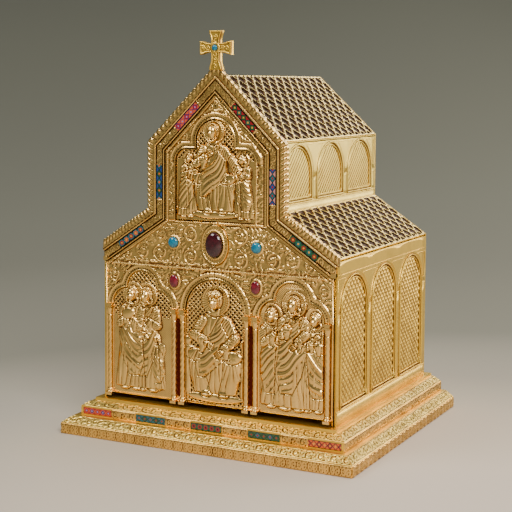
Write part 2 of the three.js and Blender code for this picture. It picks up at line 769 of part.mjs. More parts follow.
// Everything raised on the two leaves, before the middle cut.
function doorOrnament(outline) {
  const mouldingTop = arcadeTopZ + MOULDING_HEIGHT;
  const wide = bodyHalf;
  const within = (solid) => solid.intersect(outline);
  const arcadeFootZ = capitalTopZ - BITE;
  let arcade = box(-wide, wide, facadeY - ARCADE_PROUD, facadeY + BITE, arcadeFootZ, mouldingTop);
  const archivolts = [];
  const openings = [];
  for (const [niche, x] of [[NICHES.centre, 0], [NICHES.side, -sideNicheX], [NICHES.side, sideNicheX]]) {
    const arch = nicheShape(niche, x, -ARCHIVOLT_WIDTH, arcadeFootZ);
    archivolts.push(slabY(arch, facadeY - ARCHIVOLT_PROUD, facadeY + BITE));
    openings.push(slabY(nicheShape(niche, x, 0, capitalTopZ - CUT_PAST), facadeY - CUT_PAST, facadeY));
  }
  const [zoneFront, zoneBack] = [facadeY - CUT_PAST, facadeY + 2 * BITE];
  const archivoltZone = box(-wide, wide, zoneFront, zoneBack, arcadeFootZ, mouldingTop);
  arcade = arcade.add(unite(archivolts).intersect(archivoltZone)).subtract(unite(openings));
  const mouldings = [arcadeTopZ, gableMouldingZ].map((z) =>
    box(-wide, wide, facadeY - MOULDING_PROUD, facadeY + BITE, z, z + MOULDING_HEIGHT),
  );
  const field = box(-wide, wide, facadeY - FIELD_PROUD, facadeY + BITE, mouldingTop - BITE, ridgeZ);
  const gableOpening = slabY(nicheShape(NICHES.gable, 0, 0, gableFloorZ), facadeY - CUT_PAST, facadeY);
  const gableField = field.subtract(gableOpening);
  const bezels = [];
  for (const side of [-1, 1]) {
    const round = ellipse(
      side * ROUND_STONE_X,
      stoneRowZ,
      ROUND_STONE_RADIUS + BEZEL,
      ROUND_STONE_RADIUS + BEZEL,
    );
    const small = ellipse(
      side * SMALL_STONE_X,
      smallStoneZ,
      SMALL_STONE_HALF[0] + BEZEL,
      SMALL_STONE_HALF[1] + BEZEL,
    );
    bezels.push(slabY(round, facadeY - ARCHIVOLT_PROUD, facadeY, 6));
    bezels.push(slabY(small, facadeY - ARCHIVOLT_PROUD, facadeY, 6));
  }
  const columnXs = [COLUMN_PAIR_X - COLUMN_PAIR_HALF, COLUMN_PAIR_X + COLUMN_PAIR_HALF, outerColumnX];
  const columns = columnXs.flatMap((x) => [column(x), column(-x)]);
  const stiles = [-1, 1].map((side) => {
    const a = side * leafOuterX;
    const b = side * outerColumnX;
    return box(Math.min(a, b), Math.max(a, b), facadeY - STILE_PROUD, facadeY + BITE, leafBottomZ, footZ);
  });
  const ornament = unite([arcade, gableField, ...mouldings, ...bezels, ...stiles]);
  const bigMountHole = slabY(bigMountShape(RUNNING_GAP), facadeY - CUT_PAST, facadeY);
  return within(ornament).add(unite(columns)).subtract(bigMountHole);
}

function bigMountShape(margin) {
  return ellipse(0, stoneRowZ, BIG_MOUNT_HALF[0] + margin, BIG_MOUNT_HALF[1] + margin);
}

function addDoors() {
  const line = offsetLine(openingLine, -DOOR_FRAME_GAP);
  const leafTopZ = footZ - DOOR_FRAME_GAP;
  const slopeStart = crossing([line[0], line[1]], [[0, leafTopZ], [1, leafTopZ]]);
  const apex = crossing([line[2], line[3]], [[0, 0], [0, 1]]);
  const half = [[leafOuterX, leafBottomZ], [leafOuterX, leafTopZ], slopeStart, line[1], line[2], apex];
  const outlineShape = polygon([...half, ...mirrored(half).slice(1)]);
  const outline = slabY(outlineShape, facadeY - CUT_PAST, facadeY + DOOR_PLATE);
  const plate = slabY(outlineShape, facadeY, facadeY + DOOR_PLATE);
  const both = plate.add(doorOrnament(outline));
  const far = bodyHalf * 2;
  const halfGap = DOOR_GAP / 2;
  const nearY = facadeY - CUT_PAST;
  const farY = facadeY + CUT_PAST;
  const span = [nearY, farY, -BITE, ridgeZ * 2];
  const notches = [
    slabY(nicheShape(NICHES.centre, 0, -NOTCH_GAP, -BITE), nearY, farY),
    slabY(nicheShape(NICHES.gable, 0, -NOTCH_GAP, gableFloorZ - NOTCH_GAP), nearY, farY),
    slabY(bigMountShape(NOTCH_GAP), nearY, farY),
  ];
  const middle = box(-BIG_MOUNT_HALF[0] * 4, halfGap, ...span);
  const left = both.intersect(box(-far, -halfGap, ...span)).subtract(unite(notches).intersect(middle));
  const right = both.intersect(box(halfGap, far, ...span));
  for (const [name, side, leaf] of [["door_leaf_left", -1, left], ["door_leaf_right", 1, right]]) {
    const pivots = unite([
      rod(side * pivotX, pivotY, sillTop - PIVOT_LENGTH + RUNNING_GAP, leafBottomZ + BITE, PIVOT_RADIUS),
      rod(side * pivotX, pivotY, leafTopZ - BITE, footZ + PIVOT_LENGTH, PIVOT_RADIUS),
    ]);
    addPiece(name, leaf.add(pivots), GILT);
  }
}

// Relief figures: each is built round its own axis in shares of its height, feet at the bottom, half of
// its depth in front of the plaque's ground. Folds are flutes that run down the cloth.
const groundY = facadeY - RUNNING_GAP - PLAQUE_GROUND;

// A tapering bar that stands on the ground, between two points given as [x, depth in front of it, z].
function limb(from, to, r0, r1) {
  const length = Math.hypot(to[0] - from[0], to[2] - from[2]);
  const ux = (to[0] - from[0]) / length;
  const uz = (to[2] - from[2]) / length;
  const end = ([x, depth, z], r, past) => {
    const cx = x + ux * past;
    const cz = z + uz * past;
    const corner = (side, share, y) => [cx + uz * side * r * share, y, cz - ux * side * r * share];
    const front = groundY - depth - r * 0.4;
    return [
      corner(-1, 1, facadeY - RUNNING_GAP),
      corner(-1, 0.5, front),
      corner(1, 0.5, front),
      corner(1, 1, facadeY - RUNNING_GAP),
    ];
  };
  return hullOfRings([end(from, r0, -r0 / 2), end(to, r1, r1 / 2)]);
}

function ball(x, depth, z, rx, ry, rz) {
  const geometry = new THREE.SphereGeometry(1, 8, 5);
  geometry.rotateX(Math.PI / 2);
  geometry.scale(rx, ry, rz);
  geometry.translate(x, groundY - depth, z);
  return solidOf(geometry);
}

// A draped form through level sections [x, z, half width, half depth, flute depth], bottom first.
function drapery(sections) {
  const points = [];
  const faces = [];
  const sides = FOLD_SIDES;
  sections.forEach(([x, z, halfX, halfY, flute], row) => {
    for (let i = 0; i < sides; i++) {
      const angle = (i / sides) * Math.PI * 2;
      const share = 1 - (i % 2) * flute;
      points.push([x + Math.cos(angle) * halfX * share, groundY + Math.sin(angle) * halfY * share, z]);
      if (row > 0) {
        const j = (i + 1) % sides;
        const low = (row - 1) * sides;
        faces.push(low + i, low + j, row * sides + j, low + i, row * sides + j, row * sides + i);
      }
    }
  });
  const last = (sections.length - 1) * sides;
  for (let i = 1; i + 1 < sides; i++) faces.push(0, i + 1, i, last, last + i, last + i + 1);
  const geometry = new THREE.BufferGeometry();
  geometry.setAttribute("position", new THREE.Float32BufferAttribute(points.flat(), 3));
  geometry.setIndex(faces);
  return solidOf(geometry);
}

function headAndHalo(x, z, tall) {
  const head = ball(x, RELIEF_HEIGHT * 0.35, z, tall * 0.052, RELIEF_HEIGHT * 0.6, tall * 0.066);
  const halo = slabY(ellipse(x, z, tall * HALO_SHARE, tall * HALO_SHARE), groundY - HALO_PROUD, groundY, 5);
  return [head, halo];
}

function standingFigure(x, z, tall, lean, reach, cloaked = false) {
  const at = (share) => x + lean * tall * share;
  const deep = RELIEF_HEIGHT;
  const robe = drapery([
    [at(0), z, tall * 0.17, deep * 0.62, 0.3],
    [at(0.25), z + tall * 0.25, tall * 0.145, deep * 0.72, 0.26],
    [at(0.5), z + tall * 0.5, tall * 0.115, deep * 0.8, 0.16],
    [at(0.77), z + tall * 0.77, tall * 0.135, deep * 0.72, 0.04],
    [at(0.83), z + tall * 0.83, tall * 0.045, deep * 0.5, 0],
  ]);
  const mantle = drapery([
    [at(0.2) - reach * tall * 0.05, z + tall * 0.2, tall * 0.07, deep * 0.85, 0.3],
    [at(0.45), z + tall * 0.45, tall * 0.13, deep * 0.95, 0.2],
    [at(0.56) + reach * tall * 0.03, z + tall * 0.56, tall * 0.08, deep * 0.9, 0.1],
  ]);
  const arms = [-1, 1].flatMap((side) => {
    const shoulder = [at(0.75) + side * tall * 0.115, deep * 0.3, z + tall * 0.75];
    const elbow = [at(0.58) + side * tall * 0.15, deep * 0.55, z + tall * 0.58];
    const handX = at(0.64) + (0.03 * side + 0.02 * reach) * tall;
    const hand = [handX, deep * 0.85, z + tall * (0.64 + 0.03 * side)];
    return [limb(shoulder, elbow, tall * 0.042, tall * 0.04), limb(elbow, hand, tall * 0.042, tall * 0.022)];
  });
  const cloth = cloaked ? [robe, mantle] : [robe];
  return unite([...cloth, ...arms, ...headAndHalo(at(0.9), z + tall * 0.9, tall)]);
}

function seatedFigure(x, z, tall) {
  const deep = RELIEF_HEIGHT;
  const slab = (half, proud, low, high) =>
    box(x - tall * half, x + tall * half, groundY - deep * proud, groundY, z + tall * low, z + tall * high);
  const throne = slab(0.26, 0.35, 0.06, 0.46);
  const stool = slab(0.2, 0.6, 0, 0.055);
  const shins = [-1, 1].map((side) =>
    drapery([
      [x + side * tall * 0.1, z + tall * 0.05, tall * 0.105, deep * 0.75, 0.3],
      [x + side * tall * 0.12, z + tall * 0.24, tall * 0.105, deep * 0.9, 0.24],
      [x + side * tall * 0.125, z + tall * 0.4, tall * 0.1, deep * 0.97, 0.1],
      [x + side * tall * 0.11, z + tall * 0.46, tall * 0.06, deep * 0.7, 0],
    ]),
  );
  const torso = drapery([
    [x, z + tall * 0.36, tall * 0.15, deep * 0.72, 0.12],
    [x, z + tall * 0.55, tall * 0.125, deep * 0.75, 0.12],
    [x, z + tall * 0.7, tall * 0.16, deep * 0.7, 0.06],
    [x, z + tall * 0.79, tall * 0.05, deep * 0.45, 0],
  ]);
  const arms = [-1, 1].flatMap((side) => {
    const shoulder = [x + side * tall * 0.135, deep * 0.3, z + tall * 0.7];
    const elbow = [x + side * tall * 0.22, deep * 0.6, z + tall * 0.52];
    const hand = [x + side * tall * 0.12, deep * 0.9, z + tall * (side < 0 ? 0.66 : 0.46)];
    return [limb(shoulder, elbow, tall * 0.05, tall * 0.048), limb(elbow, hand, tall * 0.045, tall * 0.024)];
  });
  return unite([throne, stool, ...shins, torso, ...arms, ...headAndHalo(x, z + tall * 0.88, tall)]);
}

// A plaque: a flat ground in the niche's outline with its figures on it, cut flat behind.
function plaque(niche, centreX, floorZ, figures) {
  const outline = nicheShape(niche, centreX, NICHE_MARGIN, floorZ + NICHE_MARGIN);
  const ground = slabY(outline, groundY, facadeY - RUNNING_GAP);
  const zone = slabY(outline, groundY - 2 * RELIEF_HEIGHT, facadeY - RUNNING_GAP);
  return unite([ground, ...figures]).intersect(zone);
}

function addPlaques() {
  const floor = plaqueBottomZ + FIGURE_FLOOR;
  const tall = springZ + TOP_LOBE_RISE + TOP_LOBE_RADIUS - floor;
  const left = -sideNicheX;
  const leftGroup = [
    standingFigure(left - 15, floor, tall * 0.88, 0.05, -1),
    seatedFigure(left + 25, floor, tall * 0.5),
    standingFigure(left + 8, floor, tall * 0.86, 0.03, 1, true),
  ];
  const right = sideNicheX;
  const rightGroup = [
    standingFigure(right - 25, floor, tall * 0.8, 0.04, 1),
    standingFigure(right + 27, floor, tall * 0.82, -0.02, -1),
    standingFigure(right + 1, floor, tall * 0.94, 0, 1, true),
  ];
  const centre = [seatedFigure(0, floor, centreNicheHalf + springZ - floor - HALO_CLEAR)];
  const gableTall = GABLE_TOP_LOBE_RISE + GABLE_TOP_LOBE_RADIUS - HALO_CLEAR;
  const gableFigureZ = gableFloorZ + GABLE_FIGURE_FLOOR;
  const gable = [
    standingFigure(-37, gableFigureZ, gableTall * 0.66, 0.03, 1),
    standingFigure(37, gableFigureZ, gableTall * 0.66, -0.03, -1),
    seatedFigure(0, gableFigureZ, gableTall),
  ];
  addPiece("left_niche_plaque", plaque(NICHES.side, left, plaqueBottomZ, leftGroup), GILT);
  addPiece("right_niche_plaque", plaque(NICHES.side, right, plaqueBottomZ, rightGroup), GILT);
  addPiece("centre_niche_plaque", plaque(NICHES.centre, 0, plaqueBottomZ, centre), GILT);
  addPiece("gable_plaque", plaque(NICHES.gable, 0, gableFloorZ, gable), GILT);
}

// A domed stone with a flat back, set just in front of its seat.
function cabochon(x, z, halfX, halfZ, rise, seatY) {
  const dome = new THREE.SphereGeometry(1, 12, 6, 0, Math.PI * 2, 0, Math.PI);
  dome.rotateX(Math.PI / 2);
  dome.scale(halfX, rise, halfZ);
  dome.translate(x, seatY - RUNNING_GAP, z);
  const frontY = seatY - RUNNING_GAP - rise - BITE;
  const wideX = halfX + BITE;
  const wideZ = halfZ + BITE;
  const zone = box(x - wideX, x + wideX, frontY, seatY - RUNNING_GAP, z - wideZ, z + wideZ);
  return solidOf(dome).intersect(zone);
}

function addStones() {
  const mount = slabY(bigMountShape(0), facadeY - BIG_MOUNT_PROUD, facadeY - RUNNING_GAP);
  addPiece("centre_stone_mount", mount, GILT);
  const [bigX, bigZ] = BIG_STONE_HALF;
  const bigStone = cabochon(0, stoneRowZ, bigX, bigZ, BIG_STONE_RISE, facadeY - BIG_MOUNT_PROUD);
  addPiece("centre_stone", bigStone, GARNET);
  const seatY = facadeY - ARCHIVOLT_PROUD;
  const [smallX, smallZ] = SMALL_STONE_HALF;
  for (const [name, side] of [["left", -1], ["right", 1]]) {
    const round = ROUND_STONE_RADIUS;
    const blue = cabochon(side * ROUND_STONE_X, stoneRowZ, round, round, ROUND_STONE_RISE, seatY);
    addPiece("turquoise_" + name, blue, TURQUOISE);
    const red = cabochon(side * SMALL_STONE_X, smallStoneZ, smallX, smallZ, SMALL_STONE_RISE, seatY);
    addPiece("garnet_" + name, red, GARNET);
  }
}

function addCross() {
  const z0 = crossSeatZ;
  const top = z0 + CROSS_HEIGHT;
  const armZ = z0 + CROSS_ARM_Z;
  const narrow = CROSS_ARM_HALF;
  const wide = CROSS_ARM_HALF + CROSS_FLARE;
  const flareX = CROSS_HALF_SPAN * CROSS_FLARE_START;
  const flareLength = CROSS_FLARE * CROSS_FLARE_LENGTH;
  const right = [
    [CROSS_SEAT_HALF, z0],
    [narrow, z0 + flareLength],
    [narrow, armZ - narrow],
    [flareX, armZ - narrow],
    [CROSS_HALF_SPAN, armZ - wide],
    [CROSS_HALF_SPAN, armZ + wide],
    [flareX, armZ + narrow],
    [narrow, armZ + narrow],
    [narrow, top - flareLength],
    [wide, top],
  ];
  const frontY = facadeY - CROSS_THICK / 2;
  const cross = slabY(polygon([...right, ...mirrored(right)]), frontY, frontY + CROSS_THICK);
  addPiece("roof_cross", cross, GILT);
  const r = CROSS_STONE_RADIUS;
  addPiece("cross_stone", cabochon(0, armZ, r, r, CROSS_STONE_RISE, frontY), TURQUOISE);
}

addPlinth();
addWalls();
addRoofs();
addFrame();
addDoors();
addPlaques();
addStones();
addCross();

export default tabernacle;
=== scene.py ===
# %% [markdown]
# This lesson dresses a gilt altar tabernacle: a small basilica of sheet brass on a stepped plinth, whose
# front is a pair of doors with cast figures, chased foliage, stones and enamels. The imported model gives
# every piece at its real size, and the cells below put finely worked surfaces in its place. Lengths are
# in millimetres until a mesh is written, +Z is up and the front faces -Y.

import json
import math

import bpy
import numpy as np
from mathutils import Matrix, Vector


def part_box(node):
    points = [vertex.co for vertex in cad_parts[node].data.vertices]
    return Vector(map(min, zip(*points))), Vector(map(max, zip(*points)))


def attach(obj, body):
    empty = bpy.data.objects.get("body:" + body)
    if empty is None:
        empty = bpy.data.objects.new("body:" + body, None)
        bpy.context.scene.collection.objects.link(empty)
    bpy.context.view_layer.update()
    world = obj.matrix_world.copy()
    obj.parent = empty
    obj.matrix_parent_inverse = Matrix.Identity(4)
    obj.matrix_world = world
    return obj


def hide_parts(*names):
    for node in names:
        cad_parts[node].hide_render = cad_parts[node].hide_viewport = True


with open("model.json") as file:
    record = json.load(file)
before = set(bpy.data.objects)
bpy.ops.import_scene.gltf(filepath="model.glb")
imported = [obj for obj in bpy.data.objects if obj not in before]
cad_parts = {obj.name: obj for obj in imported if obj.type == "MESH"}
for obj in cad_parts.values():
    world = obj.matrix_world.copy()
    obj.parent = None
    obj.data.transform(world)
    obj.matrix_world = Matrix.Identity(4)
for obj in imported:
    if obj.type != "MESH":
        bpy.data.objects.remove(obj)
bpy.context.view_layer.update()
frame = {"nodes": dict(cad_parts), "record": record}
MM = 0.001
TAU = 2 * math.pi


def span(node):
    """Lowest and highest corner of a CAD node, in millimetres."""
    low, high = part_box(node)
    return np.array(low) / MM, np.array(high) / MM


def turns(count):
    """Angles of so many even steps round a circle, from 0."""
    return np.linspace(0, TAU, count + 1)[:-1]


# %% [markdown]
# The camera stands where the photograph's did: about 27 degrees round to the right of the doors, nearly as
# high as the ridge, with a long lens. The picture's middle lies below the lens's axis, so the lens is
# shifted. A camera could also be aimed with a Track To constraint; a matrix keeps every angle in view.

# %% Camera
CAMERA_PLACE = (0.7216, -1.45295, 0.4364)
CAMERA_AZIMUTH = 26.92
CAMERA_PITCH = 4.26
CAMERA_ROLL = 0.32
CAMERA_LENS = 88.0
CAMERA_SHIFT_Y = -0.148


def camera_turn(azimuth, pitch, roll):
    """Rotation matrix whose columns are the picture's right, up and backward directions."""
    a, e, r = (math.radians(v) for v in (azimuth, pitch, roll))
    forward = np.array([-math.sin(a) * math.cos(e), math.cos(a) * math.cos(e), -math.sin(e)])
    right = np.array([math.cos(a), math.sin(a), 0.0])
    up = np.cross(right, forward)
    right, up = right * math.cos(r) + up * math.sin(r), up * math.cos(r) - right * math.sin(r)
    return np.stack([right, up, -forward], 1)


def placed(turn, place):
    """A 4 x 4 matrix for Blender from a rotation and a place, as the nested columns that it takes."""
    pose = np.eye(4)
    pose[:3, :3] = turn
    pose[:3, 3] = place
    return pose.T.tolist()


camera_data = bpy.data.cameras.new("camera")
camera_data.lens = CAMERA_LENS
camera_data.sensor_width = 36
camera_data.shift_y = CAMERA_SHIFT_Y
camera = bpy.data.objects.new("camera", camera_data)
bpy.context.scene.collection.objects.link(camera)
camera.matrix_world = placed(camera_turn(CAMERA_AZIMUTH, CAMERA_PITCH, CAMERA_ROLL), CAMERA_PLACE)
bpy.context.scene.camera = camera
print("camera at", [round(v, 3) for v in camera.matrix_world.translation])

# %% [markdown]
# Every worked surface starts as a grid of points found with numpy. A grid becomes a closed shell: its
# face is the grid, its rim runs straight back and its back is flat, so nothing is paper thin and no edge
# is open. Each point also carries a cavity value, which a finish reads to darken hollows: partly the
# gilding's patina, partly painted shade.


# %% Shells from grids
def blurred(values, rounds):
    """Values after repeated 1-2-1 averages along both directions of the grid."""
    out = values.copy()
    for _ in range(rounds):
        wide = np.pad(out, 1, mode="edge")
        out = (wide[:-2, 1:-1] + 2 * wide[1:-1, 1:-1] + wide[2:, 1:-1]) / 4
        wide = np.pad(out, 1, mode="edge")
        out = (wide[1:-1, :-2] + 2 * wide[1:-1, 1:-1] + wide[1:-1, 2:]) / 4
    return out


def cavity(height, rounds=10, depth=1.0):
    """0.5 + (mean height round the point - its own height) / 2 depth, kept within 0 and 1."""
    return np.clip(0.5 + (blurred(height, rounds) - height) / (2 * depth), 0, 1)


class Shell:
    """Gathers points, faces and point values of several closed shells, then writes them as one mesh."""

    def __init__(self):
        self.points, self.faces, self.flags, self.hollow, self.red_shade = [], [], [], [], []
        self.count = 0

    def add(self, points, faces, hollow=None, red_shade=None):
        """Points (n, 3); faces as pairs of rows (an array, or a list of outlines) and a smooth flag."""
        points = np.asarray(points, float).reshape(-1, 3)
        for rows, is_smooth in faces:
            blocks = [rows] if isinstance(rows, np.ndarray) else [np.asarray(row)[None] for row in rows]
            for block in blocks:
                self.faces.append(block + self.count)
                self.flags.append(np.full(len(block), is_smooth))
        self.points.append(points)
        zero = np.zeros(len(points))
        self.hollow.append(zero if hollow is None else np.asarray(hollow, float).ravel())
        self.red_shade.append(zero if red_shade is None else np.asarray(red_shade, float).ravel())
        self.count += len(points)

    def relief(self, front, back, hollow=None, red_shade=None, is_smooth=True):
        """A slab: front points (m, n, 3) run right and up as seen from outside; back is the same grid
        moved to the flat side, of which only the rim is used, and walls join the two rims."""
        m, n = front.shape[:2]
        index = np.arange(m * n).reshape(m, n)
        quads = np.stack([index[:-1, :-1], index[:-1, 1:], index[1:, 1:], index[1:, :-1]], -1)
        rim = np.concatenate([index[0, :-1], index[:-1, -1], index[-1, :0:-1], index[:0:-1, 0]])
        behind = m * n + np.arange(len(rim))
        place = np.zeros(m * n, int)
        place[rim] = behind
        walls = np.stack([rim, behind, np.roll(behind, -1), np.roll(rim, -1)], -1)
        left, right = place[index[:, 0]], place[index[:, -1]]
        bottom, top = place[index[0]], place[index[-1]]
        ends = [[left[1], right[1], *bottom[::-1]], [left[-2], *top, right[-2]]]
        faces = [(quads.reshape(-1, 4), is_smooth), (walls, False), (ends, False)]
        if m > 3:
            rows = np.stack([left[1:-2], left[2:-1], right[2:-1], right[1:-2]], -1)
            faces.append((rows, False))
        points = np.concatenate([front.reshape(-1, 3), np.asarray(back, float).reshape(-1, 3)[rim]])
        hollow = np.zeros(m * n) if hollow is None else np.asarray(hollow, float).ravel()
        red_shade = np.zeros(m * n) if red_shade is None else np.asarray(red_shade, float).ravel()
        edge = np.full(len(rim), 0.4)
        self.add(points, faces, np.concatenate([hollow, edge]), np.concatenate([red_shade, red_shade[rim]]))

    def pyramids(self, front, back, hollow):
        """A slab like relief, whose quads are cut so that points with an even step sum become peaks."""
        start = len(self.faces)
        self.relief(front, back, hollow, None, False)
        m, n = front.shape[:2]
        quads = self.faces[start]
        i, j = np.divmod(np.arange(len(quads)), n - 1)
        even = ((i + j) % 2 == 0)[:, None]
        first = np.where(even, quads[:, [0, 1, 3]], quads[:, [0, 1, 2]])
        second = np.where(even, quads[:, [1, 2, 3]], quads[:, [0, 2, 3]])
        self.faces[start] = np.concatenate([first, second])
        self.flags[start] = np.full(2 * len(quads), False)

    def sweep(self, rings, closed=False, hollow=None, is_smooth=True):
        """A tube through rings (m, n, 3) of one section; ends that don't meet get a flat cap."""
        m, n = rings.shape[:2]
        index = np.arange(m * n).reshape(m, n)
        before, after = (index, np.roll(index, -1, 0)) if closed else (index[:-1], index[1:])
        quads = np.stack([before, np.roll(before, -1, 1), np.roll(after, -1, 1), after], -1)
        faces = [(quads.reshape(-1, 4), is_smooth)]
        if not closed:
            faces.append(([index[0, ::-1], index[-1]], False))
        self.add(rings.reshape(-1, 3), faces, hollow)

    def box(self, low, high):
        """A plain block between two corners."""
        x, y, z = np.meshgrid([0, 1], [0, 1], [0, 1], indexing="ij")
        share = np.stack([x, y, z], -1).reshape(-1, 3)
        low, high = np.array(low, float), np.array(high, float)
        rows = np.array([[0, 1, 3, 2], [4, 6, 7, 5], [0, 4, 5, 1], [2, 3, 7, 6], [0, 2, 6, 4], [1, 5, 7, 3]])
        self.add(low + share * (high - low), [(rows, False)], np.full(8, 0.3))

    def object(self, name, body, slot, material, replaces=()):
        """Writes the mesh in metres with its cavity and red shadow values, and lets it ride on its body."""
        mesh = bpy.data.meshes.new(name)
        points = np.concatenate(self.points) * MM
        sizes = np.concatenate([np.full(len(f), f.shape[1]) for f in self.faces])
        corners = np.concatenate([f.ravel() for f in self.faces])
        mesh.vertices.add(len(points))
        mesh.vertices.foreach_set("co", points.astype(np.float32).ravel())
        mesh.loops.add(len(corners))
        mesh.loops.foreach_set("vertex_index", corners.astype(np.int32))
        mesh.polygons.add(len(sizes))
        mesh.polygons.foreach_set("loop_start", (np.cumsum(sizes) - sizes).astype(np.int32))
        mesh.polygons.foreach_set("use_smooth", np.concatenate(self.flags))
        for title, values in (("cavity", self.hollow), ("red_shade", self.red_shade)):
            attribute = mesh.attributes.new(title, "FLOAT", "POINT")
            attribute.data.foreach_set("value", np.concatenate(values).astype(np.float32))
        mesh.update(calc_edges=True)
        mesh.validate()
        made = bpy.data.objects.new(name, mesh)
        bpy.context.scene.collection.objects.link(made)
        made.data.materials.append(material)
        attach(made, body)
        if replaces:
            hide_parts(*replaces)
        Shell.total += int((sizes - 2).sum())
        print(name, "has", int((sizes - 2).sum()), "triangles, all so far", Shell.total)
        return made


Shell.total = 0
print("a new shell starts from", Shell.total, "triangles")

# %% [markdown]
# The gold is plated brass. All its finishes share one shader group, which takes the cavity value and a
# cloudy noise and gives a colour that is bright on crests, brown in hollows (patina with painted shade)
# and black in drilled pits (painted shade), with a roughness to match. A red tint value paints a deep
# red shadow on the metal, as between the paired columns.


# %% Gilt shader group
def node_group(name, inputs, outputs):
    """A shader group with inputs (name, kind, value) and outputs (name, kind), and its two inner ends."""
    group = bpy.data.node_groups.new(name, "ShaderNodeTree")
    for title, kind, value in inputs:
        made = group.interface.new_socket(name=title, in_out="INPUT", socket_type="NodeSocket" + kind)
        if value is not None:
            made.default_value = value
    for title, kind in outputs:
        group.interface.new_socket(name=title, in_out="OUTPUT", socket_type="NodeSocket" + kind)
    return group, group.nodes.new("NodeGroupInput").outputs, group.nodes.new("NodeGroupOutput").inputs


def plug(tree, slot, value):
    """Feeds an input with a link from another socket, or with a plain number or colour."""
    if isinstance(value, bpy.types.NodeSocket):
        tree.links.new(value, slot)
    else:
        slot.default_value = (*value, 1) if isinstance(value, tuple) else value


def math_node(tree, operation, *values, clamp=False):
    """A Math node with numbers or sockets as its inputs; gives back its output."""
    node = tree.nodes.new("ShaderNodeMath")
    node.operation = operation
    node.use_clamp = clamp
    for slot, value in zip(node.inputs, values):
        plug(tree, slot, value)
    return node.outputs[0]


def mix_colour(tree, factor, first, second):
    """A Mix node for colours, given as sockets or as triples."""
    node = tree.nodes.new("ShaderNodeMix")
    node.data_type = "RGBA"
    for name, value in (("Factor", factor), ("A", first), ("B", second)):
        plug(tree, [slot for slot in node.inputs if slot.name == name and slot.enabled][0], value)
    return [slot for slot in node.outputs if slot.enabled][0]


def smooth_range(tree, value, low, high):
    """0 below low, 1 above high and a smooth rise between, as a Map Range node."""
    node = tree.nodes.new("ShaderNodeMapRange")
    node.interpolation_type = "SMOOTHSTEP"
    for name, source in (("Value", value), ("From Min", low), ("From Max", high)):
        plug(tree, node.inputs[name], source)
    return node.outputs[0]


def noise(tree, vector, scale, detail):
    node = tree.nodes.new("ShaderNodeTexNoise")
    for name, source in (("Vector", vector), ("Scale", scale), ("Detail", detail)):
        plug(tree, node.inputs[name], source)
    return node.outputs[0]


def attribute_value(tree, name):
    node = tree.nodes.new("ShaderNodeAttribute")
    node.attribute_name = name
    return node.outputs["Fac"]


def patina_and_shade_group():
    """Colour, roughness and grain of gilding, from the cavity and red tint values and two noises: patina with
    painted shade in hollows, painted shade in pits, a painted red shadow where the tint is set, and random
    tarnish.
    """
    group, inlet, outlet = node_group(
        "gilt_patina_and_shade",
        [("Crest", "Color", (1, 0.8, 0.4, 1)), ("Hollow", "Color", (0.1, 0.04, 0.01, 1)),
         ("Start", "Float", 0.55), ("End", "Float", 0.95), ("Polish", "Float", 0.18), ("Dull", "Float", 0.5)],
        [("Color", "Color"), ("Roughness", "Float"), ("Grain", "Float")])
    place = group.nodes.new("ShaderNodeTexCoord").outputs["Object"]
    deep = attribute_value(group, "cavity")
    cloud = noise(group, place, 42, 3)
    fine = noise(group, place, 1100, 2)
    # Hollows go brown by the cavity value: the gilding's patina and painted shade together.
    swayed = math_node(group, "ADD", deep, math_node(group, "MULTIPLY_ADD", cloud, 0.2, -0.1))
    share = smooth_range(group, swayed, inlet["Start"], inlet["End"])
    tarnish = math_node(group, "MULTIPLY", smooth_range(group, cloud, 0.35, 0.75), 0.22)
    crest = mix_colour(group, tarnish, inlet["Crest"], inlet["Hollow"])
    colour = mix_colour(group, share, crest, inlet["Hollow"])
    # Painted shadow: deep red where the red tint value is set, in the gap between paired columns.
    red = mix_colour(group, attribute_value(group, "red_shade"), colour, (0.11, 0.014, 0.006))
    # Painted shade: black where the cavity value marks a pit.
    pit = smooth_range(group, deep, 1.05, 1.4)
    group.links.new(mix_colour(group, pit, red, (0.004, 0.003, 0.002)), outlet["Color"])
    rough = math_node(group, "SUBTRACT", inlet["Dull"], inlet["Polish"])
    rough = math_node(group, "MULTIPLY_ADD", share, rough, inlet["Polish"])
    group.links.new(math_node(group, "MULTIPLY_ADD", cloud, 0.1, rough), outlet["Roughness"])
    group.links.new(fine, outlet["Grain"])
    return group


PATINA_AND_SHADE = patina_and_shade_group()


def new_material(name, values):
    """A material with plain values set by name on its Principled shader; gives its tree and shader too."""
    material = bpy.data.materials.new(name)
    material.use_nodes = True
    shader = material.node_tree.nodes["Principled BSDF"]
    for title, value in values.items():
        shader.inputs[title].default_value = value
    return material, material.node_tree, shader


def gilt(name, crest, hollow, start, end, polish, dull):
    """A metal whose colour and roughness come from the patina and painted shade group, with a fine grain as
    bump.
    """
    material, tree, shader = new_material(name, {"Metallic": 1.0})
    patina_and_shade = tree.nodes.new("ShaderNodeGroup")
    patina_and_shade.node_tree = PATINA_AND_SHADE
    values = {"Crest": crest, "Hollow": hollow, "Start": start, "End": end, "Polish": polish, "Dull": dull}
    for title, value in values.items():
        plug(tree, patina_and_shade.inputs[title], value)
    tree.links.new(patina_and_shade.outputs["Color"], shader.inputs["Base Color"])
    tree.links.new(patina_and_shade.outputs["Roughness"], shader.inputs["Roughness"])
    grain = tree.nodes.new("ShaderNodeBump")
    grain.inputs["Strength"].default_value = 0.2
    grain.inputs["Distance"].default_value = 0.00008
    tree.links.new(patina_and_shade.outputs["Grain"], grain.inputs["Height"])
    tree.links.new(grain.outputs["Normal"], shader.inputs["Normal"])
    return material


